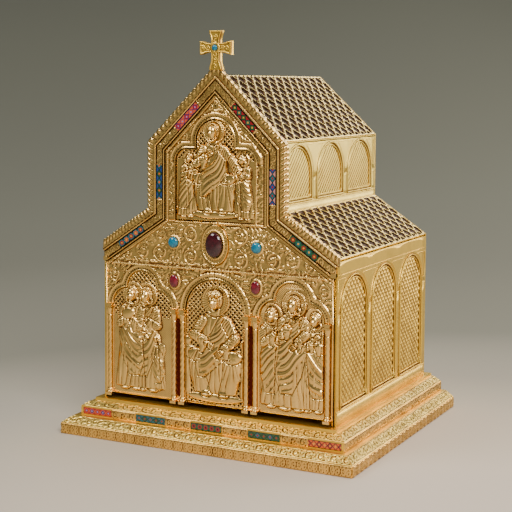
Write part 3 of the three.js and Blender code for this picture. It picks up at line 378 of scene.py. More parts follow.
CHASED_GOLD = gilt("chased_gold", (1.0, 0.65, 0.21), (0.13, 0.04, 0.008), 0.55, 0.93, 0.17, 0.4)
FIGURE_GOLD = gilt("figure_gold", (1.0, 0.66, 0.22), (0.14, 0.044, 0.009), 0.56, 0.94, 0.13, 0.32)
SATIN_GOLD = gilt("satin_gold", (1.0, 0.66, 0.11), (0.2, 0.08, 0.014), 0.5, 0.95, 0.33, 0.45)
PALE_GOLD = gilt("pale_gold", (1.0, 0.76, 0.19), (0.24, 0.1, 0.018), 0.5, 0.95, 0.36, 0.48)
# BEVEL_GOLD is a paler copy of EDGE_GOLD: painted light on the plinth's upward-tilted bevels.
BEVEL_GOLD = gilt("bevel_gold", (1.0, 0.71, 0.17), (0.14, 0.05, 0.008), 0.52, 0.85, 0.27, 0.42)
# TILE_GOLD's near-black hollow colour is a painted dark reflection in the tile cells.
TILE_GOLD = gilt("tile_gold", (1.0, 0.75, 0.21), (0.055, 0.019, 0.004), 0.28, 0.55, 0.2, 0.4)
EDGE_GOLD = gilt("edge_gold", (1.0, 0.62, 0.17), (0.14, 0.045, 0.009), 0.5, 0.85, 0.21, 0.4)
print("gilt finishes:", 7)

# %% [markdown]
# Chased ornament is a height map. Leaves, scrolls, beads and cords are stamped on a grid and the higher
# form wins, the way a chaser raises one form beside another out of the same sheet.


# %% Ornament stamps
def smooth(value, low, high):
    """0 below low and 1 above high, with t*t*(3 - 2t) between."""
    t = np.clip((value - low) / (high - low), 0, 1)
    return t * t * (3 - 2 * t)


def dome(q):
    """Round profile sqrt(1 - q*q), 0 outside q = 1."""
    return np.sqrt(np.clip(1 - q * q, 0, 1))


def leaf(height, x, z, root, angle, length, width, rise, bend=0.0, lobes=3):
    """An acanthus leaf: half width is w/2 * sin(pi s^0.8)^0.6 with scalloped edge, s along it; the blade is
    rise * dome(t / half width), less a groove on the midrib and one between each pair of lobes."""
    near = (x - root[0]) ** 2 + (z - root[1]) ** 2 < (1.15 * length) ** 2
    if not near.any():
        return
    c, s = math.cos(angle), math.sin(angle)
    dx, dz = x[near] - root[0], z[near] - root[1]
    along = (dx * c + dz * s) / length
    across = dz * c - dx * s - bend * length * along**2
    share = np.clip(along, 1e-4, 1 - 1e-4)
    half = width / 2 * np.sin(np.pi * share**0.8) ** 0.6
    half *= 0.74 + 0.26 * np.abs(np.cos(np.pi * lobes * share + 0.5))
    q = np.abs(across) / np.maximum(half, 1e-4)
    blade = dome(q) * (0.55 + 0.45 * np.sin(np.pi * share))
    rib = 0.4 * np.exp(-((across / (0.1 * width)) ** 2)) * (share < 0.85)
    vein = 0.2 * (0.5 + 0.5 * np.cos(TAU * (lobes * share - 0.55 * q))) * np.clip(2 * q, 0, 1)
    inside = (along > 0) & (along < 1) & (q < 1)
    height[near] = np.maximum(height[near], np.where(inside, rise * (blade - rib - vein * blade), 0))


def rosette(height, x, z, centre, radius, rise, petals=6):
    """A flower: a ring of petals, dome * (0.7 + 0.3 cos(petals * angle)), round a boss."""
    dx, dz = x - centre[0], z - centre[1]
    r = np.hypot(dx, dz) / radius
    near = r < 1
    ring = dome((r[near] - 0.62) / 0.38) * (0.7 + 0.3 * np.cos(petals * np.arctan2(dz[near], dx[near])))
    boss = 1.1 * dome(r[near] / 0.3)
    height[near] = np.maximum(height[near], rise * np.maximum(ring, boss))


def spiral(height, x, z, centre, start, radius, turns, hand, rise, stem=0.9, leaves=6):
    """A scroll: a stem at r = radius * (1 - 0.8 * angle / full turn), with leaves along it and a flower."""
    full = turns * TAU
    dx, dz = x - centre[0], z - centre[1]
    r = np.hypot(dx, dz)
    near = r < radius * 1.1
    theta = (hand * (np.arctan2(dz[near], dx[near]) - start)) % TAU
    best = np.full(theta.shape, 1e3)
    for k in range(int(turns) + 1):
        angle = theta + TAU * k
        arm = radius * (1 - 0.8 * angle / full)
        best = np.where(angle <= full, np.minimum(best, np.abs(r[near] - arm)), best)
    height[near] = np.maximum(height[near], rise * dome(best / stem))
    for k in range(leaves):
        angle = full * (k + 0.5) / (leaves + 1)
        arm = radius * (1 - 0.8 * angle / full)
        where = start + hand * angle
        root = (centre[0] + arm * math.cos(where), centre[1] + arm * math.sin(where))
        size = (0.68 - 0.3 * k / leaves) * radius
        way = where + hand * (0.9 if k % 2 == 0 else 2.4)
        leaf(height, x, z, root, way, size, size * 0.6, rise * 1.15, 0.25 * hand)
    rosette(height, x, z, centre, radius * 0.26, rise * 1.2, 5)


def beads(height, x, z, start, end, pitch, radius, rise, base=0.0):
    """A straight row of hemispheres about pitch apart, standing on a base height."""
    dx, dz = end[0] - start[0], end[1] - start[1]
    length = math.hypot(dx, dz)
    along = ((x - start[0]) * dx + (z - start[1]) * dz) / length
    across = ((x - start[0]) * -dz + (z - start[1]) * dx) / length
    near = (np.abs(across) < radius) & (along > 0) & (along < length)
    step = length / max(1, round(length / pitch))
    offset = along[near] % step - step / 2
    height[near] = np.maximum(height[near], base + rise * dome(np.hypot(offset, across[near]) / radius))


def foliage(height, x, z, allowed, pitch, size, rise, flow, seed):
    """Leaves on a jittered honeycomb wherever allowed(x, z) holds, each turned along flow(x, z)."""
    random = np.random.default_rng(seed)
    count = 0
    for j, pz in enumerate(np.arange(z.min(), z.max() + pitch, pitch * 0.86)):
        for px in np.arange(x.min() - pitch, x.max() + pitch, pitch) + (j % 2) * pitch / 2:
            mx = px + random.uniform(-0.22, 0.22) * pitch
            mz = pz + random.uniform(-0.22, 0.22) * pitch
            turn, scale, bend = random.normal(0, 0.45), random.uniform(0.8, 1.15), random.uniform(-0.3, 0.3)
            if not allowed(mx, mz):
                continue
            way = flow(mx, mz) + turn
            length = size * scale
            root = (mx - 0.5 * length * math.cos(way), mz - 0.5 * length * math.sin(way))
            leaf(height, x, z, root, way, length, length * 0.42, rise * random.uniform(0.8, 1.1), bend)
            count += 1
    return count


def stipple(x, z, rise, pitch):
    """Matted ground: rise * cos(2 pi x / pitch) * cos(2 pi z / pitch)."""
    return rise * np.cos(TAU * x / pitch) * np.cos(TAU * z / pitch)


print("dome at 0, 0.5 and 1:", dome(np.array([0, 0.5, 1])).round(3))

# %% [markdown]
# Most sizes of the front are read from the model's own nodes, so chased pieces line up with the stones,
# the plaques and the frame. The outlines of the niches repeat the model's: a round arch in the middle,
# and arches of three lobes at the sides and in the gable.

# %% Front sizes
leaf_low, leaf_high = span("door_leaf_right")
mount_low, mount_high = span("centre_stone_mount")
niche_low, niche_high = span("right_niche_plaque")
centre_low, centre_high = span("centre_niche_plaque")
gable_low, gable_high = span("gable_plaque")
frame_low, frame_high = span("front_frame")
sill_top = span("sill_plate")[1][2]
PLATE = 3.0
SEAM = 0.3
MARGIN = 0.4
facade_y = leaf_high[1] - PLATE
ground_y = facade_y - 1.5
leaf_x = span("back_wall")[1][0] - 3.5
foot_z = frame_low[2]
spring_z = foot_z - 53.65
capital_z = spring_z - 6.5
arcade_top = foot_z - 3.4
leaf_bottom = sill_top + 6
niche_x = (niche_high[0] + niche_low[0]) / 2
niche_half = (niche_high[0] - niche_low[0]) / 2 + MARGIN
centre_half = centre_high[0] + MARGIN
gable_floor = gable_low[2] - MARGIN
gable_half = gable_high[0] + MARGIN
knee_z = gable_floor - 1.3
opening_half = 70.3
aisle_slope = 50.2 / 75.5
nave_slope = 69.9 / opening_half
shoulder_z = knee_z + 85.3
apex_z = shoulder_z + 69.9
foot_x = opening_half + (knee_z - foot_z) / aisle_slope
stone_z = (mount_low[2] + mount_high[2]) / 2
stone_x = sum(corner[0] for corner in span("turquoise_right")) / 2
small_x, small_z = (sum(corner[axis] for corner in span("garnet_right")) / 2 for axis in (0, 2))
SIDE_NICHE = dict(half=niche_half, side=21.0, side_z=spring_z, top=21.5, top_z=spring_z + 22)
NICHES = {
    "centre": dict(x=0.0, half=centre_half, side=0.0, side_z=spring_z, top=centre_half, top_z=spring_z),
    "right": dict(SIDE_NICHE, x=niche_x),
    "left": dict(SIDE_NICHE, x=-niche_x),
    "gable": dict(x=0.0, half=gable_half, side=15.0, side_z=gable_floor + 72, top=25.5,
                  top_z=gable_floor + 97),
}


def niche_reach(niche, z, margin=0.0):
    """Half width of a niche at a height: the wider of its side lobes' circle and its crown's circle."""
    climb = z - niche["side_z"]
    radius, top = niche["side"] - margin, niche["top"] - margin
    side = np.sqrt(np.clip(radius**2 - climb**2, 0, None))
    shoulder = np.where(climb < radius, niche["half"] - niche["side"] + side, 0)
    crown = np.sqrt(np.clip(top**2 - np.clip(z - niche["top_z"], 0, None) ** 2, 0, None))
    return np.where(climb <= 0, niche["half"] - margin, np.maximum(shoulder, crown))


def niche_gap(niche, x, z):
    """Distance from a niche's outline, negative inside: the least of its blocks and circles."""
    ax = np.abs(x - niche["x"])
    inner = niche["half"] - niche["side"]
    gap = np.maximum(ax - niche["half"], z - niche["side_z"])
    gap = np.minimum(gap, np.maximum(ax - inner, z - niche["side_z"] - niche["side"]))
    gap = np.minimum(gap, np.hypot(ax - inner, z - niche["side_z"]) - niche["side"])
    gap = np.minimum(gap, np.maximum(ax - niche["top"], z - niche["top_z"]))
    return np.minimum(gap, np.hypot(ax, z - niche["top_z"]) - niche["top"])


def rows_for(low, high, step, crowns=()):
    """Heights from low to high about step apart, closer together under each crown (centre, radius)."""
    parts = [np.linspace(low, high, int((high - low) / step) + 1)]
    for centre, radius in crowns:
        parts.append(centre + radius * np.sin(np.linspace(0.5, 1, 22) * math.pi / 2))
    z = np.unique(np.concatenate(parts))
    z = z[(z >= low) & (z <= high)]
    keep = np.concatenate([[True], np.diff(z) > 0.1 * step])
    keep[-1] = True
    return z[keep]


print("spring, knee, apex and foot at", [round(float(v), 2) for v in (spring_z, knee_z, apex_z, foot_x)])

# %% [markdown]
# The plaques were cast from modelled wax, so their figures are built the same way: body, cloth, arms and
# head are laid one over another on the ground as height maps, and each one sinks a thin line round
# itself. Faces are plain and calm, on the usual proportions: eyes half way down, then nose and mouth.


# %% Figure modelling
class Relief:
    """A height map over points x, z that takes one form after another."""

    def __init__(self, x, z):
        self.x, self.z = x, z
        self.h = np.zeros_like(x)
        # pit: painted shade, black in the net's holes.
        self.pit = np.zeros_like(x)

    def lay(self, gap, value, moat=0.45, soft=1.0):
        """Lays value where gap < 0, and sinks what lies round it by moat * exp(-(gap / soft)^2)."""
        sunk = self.h * (1 - moat * np.exp(-((np.clip(gap, 0, None) / soft) ** 2)))
        self.h = np.where(gap < 0, np.maximum(self.h, value), sunk)
        self.pit = np.where((gap < 0) & (value > 0.3), 0, self.pit)

    def limb(self, a, b, ra, rb, base, rise, end=None):
        """A tapering bar: base + rise * dome(distance / radius), the base going to end along it."""
        dx, dz = b[0] - a[0], b[1] - a[1]
        t = np.clip(((self.x - a[0]) * dx + (self.z - a[1]) * dz) / (dx * dx + dz * dz + 1e-9), 0, 1)
        radius = ra + (rb - ra) * t
        distance = np.hypot(self.x - a[0] - dx * t, self.z - a[1] - dz * t)
        foot = base + ((base if end is None else end) - base) * t
        self.lay(distance - radius, foot + rise * dome(distance / radius))
        return distance / radius

    def blob(self, centre, rx, rz, base, rise, turn=0.0):
        """A rounded lump: base + rise * dome(q) on an ellipse turned by an angle."""
        c, s = math.cos(turn), math.sin(turn)
        u = ((self.x - centre[0]) * c + (self.z - centre[1]) * s) / rx
        v = ((self.z - centre[1]) * c - (self.x - centre[0]) * s) / rz
        q = np.hypot(u, v)
        self.lay((q - 1) * min(rx, rz), base + rise * dome(q))

    def cloth(self, levels, folds, power=2.6):
        """A draped form between levels (z, middle, half width, depth): depth * (1 - |u|^power)^(1/2) plus
        folds(u, share, x, z), which fade at the edges."""
        table = np.array(levels, float)
        middle = np.interp(self.z, table[:, 0], table[:, 1])
        half = np.interp(self.z, table[:, 0], table[:, 2])
        depth = np.interp(self.z, table[:, 0], table[:, 3])
        u = (self.x - middle) / np.maximum(half, 0.1)
        share = (self.z - table[0, 0]) / (table[-1, 0] - table[0, 0])
        gap = np.maximum((np.abs(u) - 1) * half, np.maximum(table[0, 0] - self.z, self.z - table[-1, 0]))
        body = depth * np.sqrt(np.clip(1 - np.abs(u) ** power, 0, 1))
        self.lay(gap, body + folds(u, share, self.x, self.z) * smooth(-gap, 0, 1.2) + 0.4)


def pipe(phase, sharp=0.75):
    """Folds with rounded backs and tight valleys: |sin(phase)|^sharp."""
    return np.abs(np.sin(phase)) ** sharp


def folded(phase, x, z, amplitude):
    """Folds along a phase: it wanders slowly, some backs rise higher, and all swell and fade on the way."""
    wander = phase + 0.7 * np.sin(x / 6 + z / 15) + 0.5 * np.sin(z / 9 - x / 14)
    swell = 0.75 + 0.25 * np.sin(z / 8 + 0.9 * wander)
    fine = 0.3 * pipe(2.4 * wander + 0.05 * z, 0.6)
    return amplitude * swell * (pipe(wander, 0.6) + 0.3 * np.sin(0.62 * wander) + fine - 0.65)


def hanging(count, amplitude):
    """Folds that fall straight, so many across the cloth, and deepen downwards."""
    def folds(u, share, x, z):
        return (1.15 - 0.5 * share) * folded(count * math.pi / 2 * u, x, z, amplitude)
    return folds


def fanned(count, amplitude, spring_from, bow=0.0):
    """Folds that fan out from a point: so many a radian, bent with the distance and growing outwards."""
    def folds(u, share, x, z):
        dx, dz = x - spring_from[0], z - spring_from[1]
        r = np.hypot(dx, dz)
        phase = count * math.pi * (np.arctan2(dx, -dz) + bow * r / 60)
        return smooth(r, 2, 24) * folded(phase, x, z, amplitude)
    return folds


def bump(u, v, width, height):
    """A soft swelling: exp(-(u / width)^2 - (v / height)^2)."""
    return np.exp(-((u / width) ** 2) - (v / height) ** 2)


def head(r, place, size, turn=0.0, kind="short", base=2.6, halo=0.0):
    """A head of that height with a plain face; kind is short, beard, veil or crown."""
    x0, z0 = place
    u, v = (r.x - x0) / size, (r.z - z0) / size
    if halo:
        d = np.hypot(r.x - x0, r.z - z0) / halo
        ray = 0.22 * np.cos(36 * np.arctan2(v, u)) * smooth(d, 0.45, 0.6)
        rim = 0.9 * dome((d - 0.93) / 0.07) + 0.5 * dome((d - 0.8) / 0.04)
        r.lay((d - 1) * halo, 1.3 + ray + rim, 0.7)
    angle = np.arctan2(v - 0.02, u)
    if kind == "veil":
        q = np.hypot(u / 0.5, (v + 0.07) / 0.66)
        fold = 0.05 * np.cos(9 * angle) + 0.08 * dome((q - 0.72) / 0.14)
        r.lay((q - 1) * 0.5 * size, base + size * (0.2 * dome(q) + fold))
    q = np.hypot(u / 0.42, (v - 0.04) / 0.53)
    locks = 0.02 * np.cos(19 * angle + 9 * q) * smooth(q, 0.55, 0.75)
    r.lay((q - 1) * 0.42 * size, base + size * (0.24 * dome(q) + locks))
    if kind == "beard":
        fall = np.hypot(u / 0.27, (v + 0.42) / 0.3)
        strand = 0.03 * np.cos(42 * u + 5 * v)
        r.lay((fall - 1) * 0.25 * size, base + size * (0.12 + 0.24 * dome(fall) + strand), 0.3)
    width = 0.33 - 0.13 * np.clip(-v, 0, 0.5)
    q = np.hypot(u / width, (v + 0.03) / 0.44)
    s = u - 0.09 * turn
    side = np.abs(s)
    form = 0.16 + 0.26 * dome(q)
    form += 0.035 * bump(side - 0.13, v - 0.11, 0.1, 0.03)
    form -= 0.075 * bump(side - 0.14, v - 0.035, 0.075, 0.05)
    form += 0.045 * bump(side - 0.14, v - 0.03, 0.05, 0.024)
    form += 0.03 * bump(side - 0.19, v + 0.12, 0.08, 0.08)
    nose = smooth(-v, -0.08, 0.12) * (1 - smooth(-v, 0.13, 0.17))
    form += 0.1 * nose * np.exp(-((s / (0.035 + 0.03 * nose)) ** 2))
    form += 0.035 * bump(s, v + 0.235, 0.08, 0.018) + 0.035 * bump(s, v + 0.295, 0.065, 0.02)
    form += -0.03 * bump(s, v + 0.265, 0.1, 0.012) + 0.035 * bump(s, v + 0.4, 0.08, 0.05)
    r.lay((q - 1) * width * size, base + size * form, 0.3)
    if kind == "crown":
        band = np.maximum(np.abs(u) - 0.4, np.abs(v - 0.36) - 0.1 - 0.06 * np.cos(26 * u))
        jewel = 0.05 * np.cos(26 * u) * bump(0 * u, v - 0.34, 1, 0.05)
        r.lay(band * size, base + size * (0.36 + jewel - 0.5 * u * u), 0.5)


def hand(r, place, size, angle, base):
    """A small hand: a palm with four fingers side by side."""
    c, s = math.cos(angle), math.sin(angle)
    r.blob(place, size * 0.5, size * 0.42, base, size * 0.3, angle)
    for k in range(4):
        off = (k - 1.5) * 0.2 * size
        a = (place[0] + 0.3 * size * c - off * s, place[1] + 0.3 * size * s + off * c)
        b = (a[0] + 0.75 * size * c, a[1] + 0.75 * size * s)
        r.limb(a, b, 0.13 * size, 0.09 * size, base + 0.2, size * 0.24)


def arm(r, shoulder, elbow, wrist, width, base, rise, sleeve=True):
    """Upper arm and forearm in a sleeve with folds across it, and a cuff that hangs at the wrist."""
    for a, b, ra, rb, low, high in ((shoulder, elbow, 0.9, 0.85, base - 0.4, base + 0.8),
                                    (elbow, wrist, 0.9, 0.8 if sleeve else 0.5, base + 0.8, base + 1.4)):
        q = r.limb(a, b, width * ra, width * rb, low, rise, high)
        dx, dz = b[0] - a[0], b[1] - a[1]
        length = math.hypot(dx, dz)
        along = ((r.x - a[0]) * dx + (r.z - a[1]) * dz) / length
        across = ((r.z - a[1]) * dx - (r.x - a[0]) * dz) / length
        phase = math.pi * (along + 0.5 * across) / (width * 0.55) + 0.8 * np.sin(along / 3)
        crease = pipe(phase, 0.6) - 0.55
        r.h += np.where(q < 1, 1.1 * crease * smooth(1 - q, 0, 0.35), 0)
    if sleeve:
        cuff = (wrist[0] - 0.12 * dx, wrist[1] - 0.12 * dz)
        drop = (wrist[0] - 0.25 * dx, wrist[1] - 0.25 * dz - 1.9 * width)
        r.limb(cuff, drop, width * 0.9, width * 0.35, base + 1.0, rise * 0.8)
    place = (wrist[0] + 0.66 * width * dx / length, wrist[1] + 0.66 * width * dz / length)
    hand(r, place, width * 1.15, math.atan2(dz, dx), base + 1.8)


def rulers(foot, crown, eyes, wide, deep):
    """A figure's height, a place at(share of height, out) on its axis, and a table of cloth levels."""
    tall = (crown[1] - foot[1]) / eyes

    def at(share, out=0.0):
        return (foot[0] + (crown[0] - foot[0]) * share / eyes + out * tall, foot[1] + tall * share)

    def levels(*table):
        return [(at(share)[1], at(share, out)[0], half * tall * wide, depth * deep)
                for share, out, half, depth in table]

    return tall, at, levels


def standing(r, foot, crown, kind, halo, turn, arms, mantle, deep, folds, wide=1.0):
    """A standing figure from its foot to the middle of its head: robe, mantle over one shoulder, arms."""
    tall, at, levels = rulers(foot, crown, 0.9, wide, deep)
    for side in (-1, 1):
        r.blob(at(0.012, side * 0.06), tall * 0.05, tall * 0.025, 1.5, 2.2)
    robe = levels((0.02, 0, 0.155, 0.55), (0.3, 0, 0.135, 0.7), (0.55, 0, 0.105, 0.75), (0.7, 0, 0.135, 0.75),
                  (0.78, 0, 0.12, 0.65), (0.84, 0, 0.04, 0.5))
    r.cloth(robe, hanging(folds, 1.8))
    wrap = levels((0.14, -0.05 * mantle, 0.05, 0.7), (0.3, -0.035 * mantle, 0.11, 0.85),
                  (0.5, -0.01, 0.125, 0.95), (0.66, 0.02 * mantle, 0.1, 0.95),
                  (0.8, 0.07 * mantle, 0.045, 0.8))
    r.cloth(wrap, fanned(8.5, 2.0, at(0.9, 0.12 * mantle), 0.6 * mantle))
    for side, elbow, wrist in arms:
        arm(r, at(0.745, side * 0.105), elbow, wrist, tall * 0.042, deep * 0.62, 1.5)
    neck = at(0.83)
    r.limb(neck, crown, tall * 0.035, tall * 0.035, 2.2, 1.2)
    collar = np.abs(np.hypot(r.x - neck[0], (r.z - neck[1] - 0.02 * tall) * 1.4) - 0.06 * tall) - 0.9
    r.lay(collar, deep * 0.6 + 1.4 + 0 * r.x, 0.2)
    head(r, crown, tall * 0.135, turn, kind, deep * 0.55, tall * 0.115 if halo else 0.0)


def seated(r, foot, crown, kind, halo, turn, arms, sling, deep, spread):
    """A seated figure: throne and stool, shins under falling cloth, knees, torso, wrap, arms, head."""
    tall, at, levels = rulers(foot, crown, 0.86, 1.0, deep)
    for side in (-1, 1):
        r.limb(at(0.04, side * 0.27), at(0.47, side * 0.27), tall * 0.028, tall * 0.024, 0.8, 1.6)
        r.blob(at(0.5, side * 0.27), tall * 0.036, tall * 0.036, 1.0, 2.2)
    r.limb(at(0.4, -0.25), at(0.4, 0.25), tall * 0.045, tall * 0.045, 0.8, 1.8)
    r.blob(at(0.02), tall * 0.26, tall * 0.045, 1.2, 2.4)
    for side in (-1, 1):
        r.blob(at(0.055, side * 0.085), tall * 0.05, tall * 0.03, 3.0, 2.2)
    hem = levels((0.06, 0, 0.2, 0.5), (0.2, 0, spread * 0.9 + 0.1, 0.64), (0.36, 0, spread + 0.095, 0.78))
    r.cloth(hem, fanned(7, 1.8, at(0.62)))
    for side in (-1, 1):
        out = side * spread
        shin = levels((0.06, 0.12 * side, 0.08, 0.62), (0.2, 0.95 * out, 0.08, 0.8), (0.36, out, 0.085, 0.98),
                      (0.43, out, 0.07, 0.8))
        r.cloth(shin, fanned(7, 1.8, at(0.5, 0.7 * out), 0.3 * side))
        r.blob(at(0.385, out), tall * 0.09, tall * 0.055, deep * 0.62, deep * 0.42)
    chest = levels((0.36, 0, 0.15, 0.7), (0.5, 0, 0.115, 0.72), (0.64, 0, 0.145, 0.74), (0.72, 0, 0.125, 0.6),
                   (0.77, 0, 0.04, 0.45))
    r.cloth(chest, hanging(7, 1.3))
    wrap = levels((0.2, -0.12 * sling, 0.03, 0.9), (0.34, -0.06 * sling, 0.13, 1.0), (0.44, 0, 0.15, 1.0),
                  (0.58, 0.06 * sling, 0.09, 0.92), (0.73, 0.09 * sling, 0.04, 0.8))
    r.cloth(wrap, fanned(8, 2.0, at(0.84, 0.14 * sling), 0.7 * sling))
    for side, elbow, wrist in arms:
        arm(r, at(0.68, side * 0.12), elbow, wrist, tall * 0.048, deep * 0.68, 1.8)
    r.limb(at(0.76), crown, tall * 0.04, tall * 0.04, 2.4, 1.4)
    head(r, crown, tall * 0.155, turn, kind, deep * 0.55, halo)


def lattice(r, where, pitch=4.2, bar=0.62):
    """A pierced net at 45 degrees: bars where the distance to either family of lines is under bar; the holes
    are sunk and painted black as painted shade.
    """
    u, v = (r.x + r.z) / math.sqrt(2), (r.x - r.z) / math.sqrt(2)
    du = np.abs((u / pitch + 0.5) % 1 - 0.5) * pitch
    dv = np.abs((v / pitch + 0.5) % 1 - 0.5) * pitch
    line = np.minimum(du, dv)
    hole = smooth(line, bar, bar + 0.5) * where
    r.h = r.h - 0.95 * hole + 0.25 * dome(line / bar) * where
    r.pit = np.maximum(r.pit, 1.5 * hole)


def plaque(name, niche, low, figures, body, step=0.66):
    """A slab in a niche's outline: grid rows run between the outline's sides, heights come from figures."""
    top = niche["top_z"] + (niche["top"] - MARGIN) * 0.995
    crowns = [(niche["top_z"], niche["top"] - MARGIN)]
    if niche["side"]:
        crowns.append((niche["side_z"], niche["side"] - MARGIN))
    z = rows_for(low, top, step, crowns)
    reach = niche_reach(niche, z, MARGIN)
    n = int(2 * niche["half"] / step)
    x = niche["x"] + reach[:, None] * np.linspace(-1, 1, n)[None]
    z = np.repeat(z[:, None], n, 1)
    r = Relief(x, z)
    figures(r)
    edge = -niche_gap(niche, x, z)
    r.h = r.h * smooth(edge, 0.2, 1.4)
    r.pit = r.pit * (edge > 2.2)
    front = np.stack([x, ground_y - r.h, z], -1)
    back = np.stack([x, np.full_like(x, facade_y - 0.3), z], -1)
    shell = Shell()
    shell.relief(front, back, np.maximum(cavity(r.h, 8, 0.8), r.pit))
    return shell.object(name + "_cast", body, "relief_gilt", FIGURE_GOLD, (name,))


print("bump at its middle and one width out:", bump(0, 0, 1, 1), round(float(bump(1, 0, 1, 1)), 3))

# %% [markdown]
# The middle plaque shows a crowned figure on a throne before a pierced net, the side plaques hold three
# standing figures each, and the gable has a large seated figure between two small ones. Each plaque is a
# short list of figures with a foot, a head and two arms, so a pose is changed by moving a few points.


# %% Cast plaques
def centre_figures(r):
    lattice(r, np.ones_like(r.x))
    seated(r, (1, 57), (1.5, 179), "crown", 19.0, 0.2,
           [(-1, (-27, 136), (-12, 128)), (1, (29, 134), (14, 120))], 1, 5.2, 0.17)


def left_figures(r):
    lattice(r, smooth(r.z, 150, 152))
    r.h += stipple(r.x, r.z, 0.45, 2.4) * (r.z < 150)
    standing(r, (-84, 60), (-81, 125), "veil", False, -0.6, [(-1, (-90, 100), (-92, 108))], -1, 3.6, 5, 1.3)
    standing(r, (-95, 58), (-96, 178), "beard", True, -0.4,
             [(1, (-80, 140), (-93, 146)), (-1, (-106, 140), (-100, 132))], 1, 4.2, 6)
    standing(r, (-120, 58), (-116, 178), "short", True, 0.4,
             [(-1, (-134, 140), (-122, 150)), (1, (-106, 136), (-115, 146))], -1, 4.9, 7, 1.05)
    r.blob((-121, 154), 9, 7, 4.6, 2.2, 0.3)


def right_figures(r):
    r.h += stipple(r.x, r.z, 0.45, 2.4)
    standing(r, (131, 58), (134, 167), "short", True, -0.5,
             [(-1, (124, 134), (132, 142)), (1, (146, 132), (137, 138))], -1, 4.2, 9)
    standing(r, (84, 58), (77, 168), "veil", True, 0.7,
             [(-1, (67, 134), (82, 146)), (1, (88, 138), (92, 150))], 1, 4.2, 6, 1.1)
    standing(r, (104, 57), (106, 183), "beard", True, -0.4,
             [(-1, (92, 146), (100, 156)), (1, (122, 148), (112, 138))], 1, 5.2, 6, 1.1)


def gable_figures(r):
    lattice(r, smooth(r.z, 348, 350))
    r.h += stipple(r.x, r.z, 0.45, 2.4) * (r.z < 349)
    for side in (-1, 1):
        for k in range(6):
            root, way = (side * (40 + 1.5 * k), 277), math.pi / 2 - side * (0.9 - 0.32 * k)
            leaf(r.h, r.x, r.z, root, way, 22 - 2 * k, 7, 2.6, 0.1 * side, 4)
    standing(r, (-39, 279), (-35, 350), "short", True, 0.5,
             [(-1, (-44, 330), (-32, 334)), (1, (-30, 326), (-26, 336))], 1, 4.2, 6, 1.15)
    standing(r, (39, 279), (37, 350), "veil", True, -0.5,
             [(-1, (31, 328), (27, 336)), (1, (46, 330), (35, 334))], -1, 4.2, 6, 1.15)
    seated(r, (1, 281), (-2, 383), "beard", 15.0, -0.3,
           [(-1, (-24, 344), (-12, 352)), (1, (25, 348), (33, 336))], 1, 5.2, 0.15)


plaque("centre_niche_plaque", NICHES["centre"], centre_low[2], centre_figures, "right_door")
plaque("left_niche_plaque", NICHES["left"], niche_low[2], left_figures, "left_door")
plaque("right_niche_plaque", NICHES["right"], niche_low[2], right_figures, "right_door")
plaque("gable_plaque", NICHES["gable"], gable_low[2], gable_figures, "right_door")
print("plaques cast: 4")

# %% [markdown]
# Each door leaf is one chased sheet: an arcade on slender columns below, a band of scrolls with two blue
# stones over it, and a gable. It is drawn on a fine grid whose rows run from the seam to the outer edge.
# The left leaf gives way where the reliefs in the middle, which the right leaf carries, lie over it.


# %% Door leaves
DOOR_GAP = 1.4
NOTCH_GAP = 0.8
COLUMNS = (44.0, 56.0, 149.8)
# Spirals of the leaves: x, z, start angle, radius, turns and hand.
SCROLLS = [(33.5, 231, -2.2, 11.5, 1.6, 1), (33.5, 257.5, 2.2, 11.5, 1.6, -1),
           (75.5, 255.5, 2.6, 9, 1.6, -1), (77, 232.5, -2.0, 11.5, 1.6, 1),
           (102, 233.5, 2.4, 11.5, 1.6, -1), (124.5, 228.5, -2.2, 8.5, 1.6, 1),
           (140, 223, 2.4, 4.8, 1.3, -1), (143.5, 201.5, -2.6, 9.5, 1.6, 1), (131, 209, 2.2, 4.3, 1.3, -1),
           (44, 376, 0.4, 6.2, 1.4, 1), (7.5, 412.5, 1.2, 5.5, 1.4, -1)]


def door_edge(z):
    """Outer edge of a leaf at a height: upright, up the aisle's slope, upright again, up the gable."""
    def sloped(start, slope):
        return opening_half - (z - start) / slope - DOOR_GAP * math.hypot(1, slope) / slope
    upright = opening_half - DOOR_GAP
    upper = np.minimum(upright, sloped(shoulder_z, nave_slope))
    lower = np.maximum(sloped(knee_z, aisle_slope), upper)
    return np.where(z <= foot_z - DOOR_GAP, leaf_x, lower)


def notch_edge(z):
    """Inner edge of the left leaf: the seam, or the outline of a relief over it with a gap all round."""
    edge = np.full(z.shape, SEAM)
    for name, floor in (("centre", centre_low[2] - MARGIN), ("gable", gable_floor)):
        niche = NICHES[name]
        inside = (z > floor - NOTCH_GAP) & (z < niche["top_z"] + niche["top"] + NOTCH_GAP)
        edge = np.where(inside, np.maximum(edge, niche_reach(niche, z, -NOTCH_GAP)), edge)
    climb = (z - stone_z) / (mount_high[2] - stone_z + NOTCH_GAP)
    return np.maximum(edge, (mount_high[0] + NOTCH_GAP) * dome(np.clip(climb, -1, 1)))


def collar(h, x, z, centre, rx, rz, seat=3.9):
    """A stone's setting: a flat seat, a round rim and a ring of beads."""
    q = np.hypot((x - centre[0]) / rx, (z - centre[1]) / rz)
    out = (q - 1) * min(rx, rz)
    turn = np.arctan2((z - centre[1]) / rz, (x - centre[0]) / rx)
    count = round(TAU * (min(rx, rz) + 3) / 1.9)
    ball = np.hypot((turn * count / TAU + 0.5) % 1 - 0.5, (out - 3.1) / 1.9) / 0.48
    near = out < 4.2
    ring = np.where(out < 2.1, 2.6 + 1.5 * dome((out - 1) / 1.1), 1.5 + 1.1 * dome(ball))
    value = np.where(out < 0, seat, ring)
    h[near] = value[near]


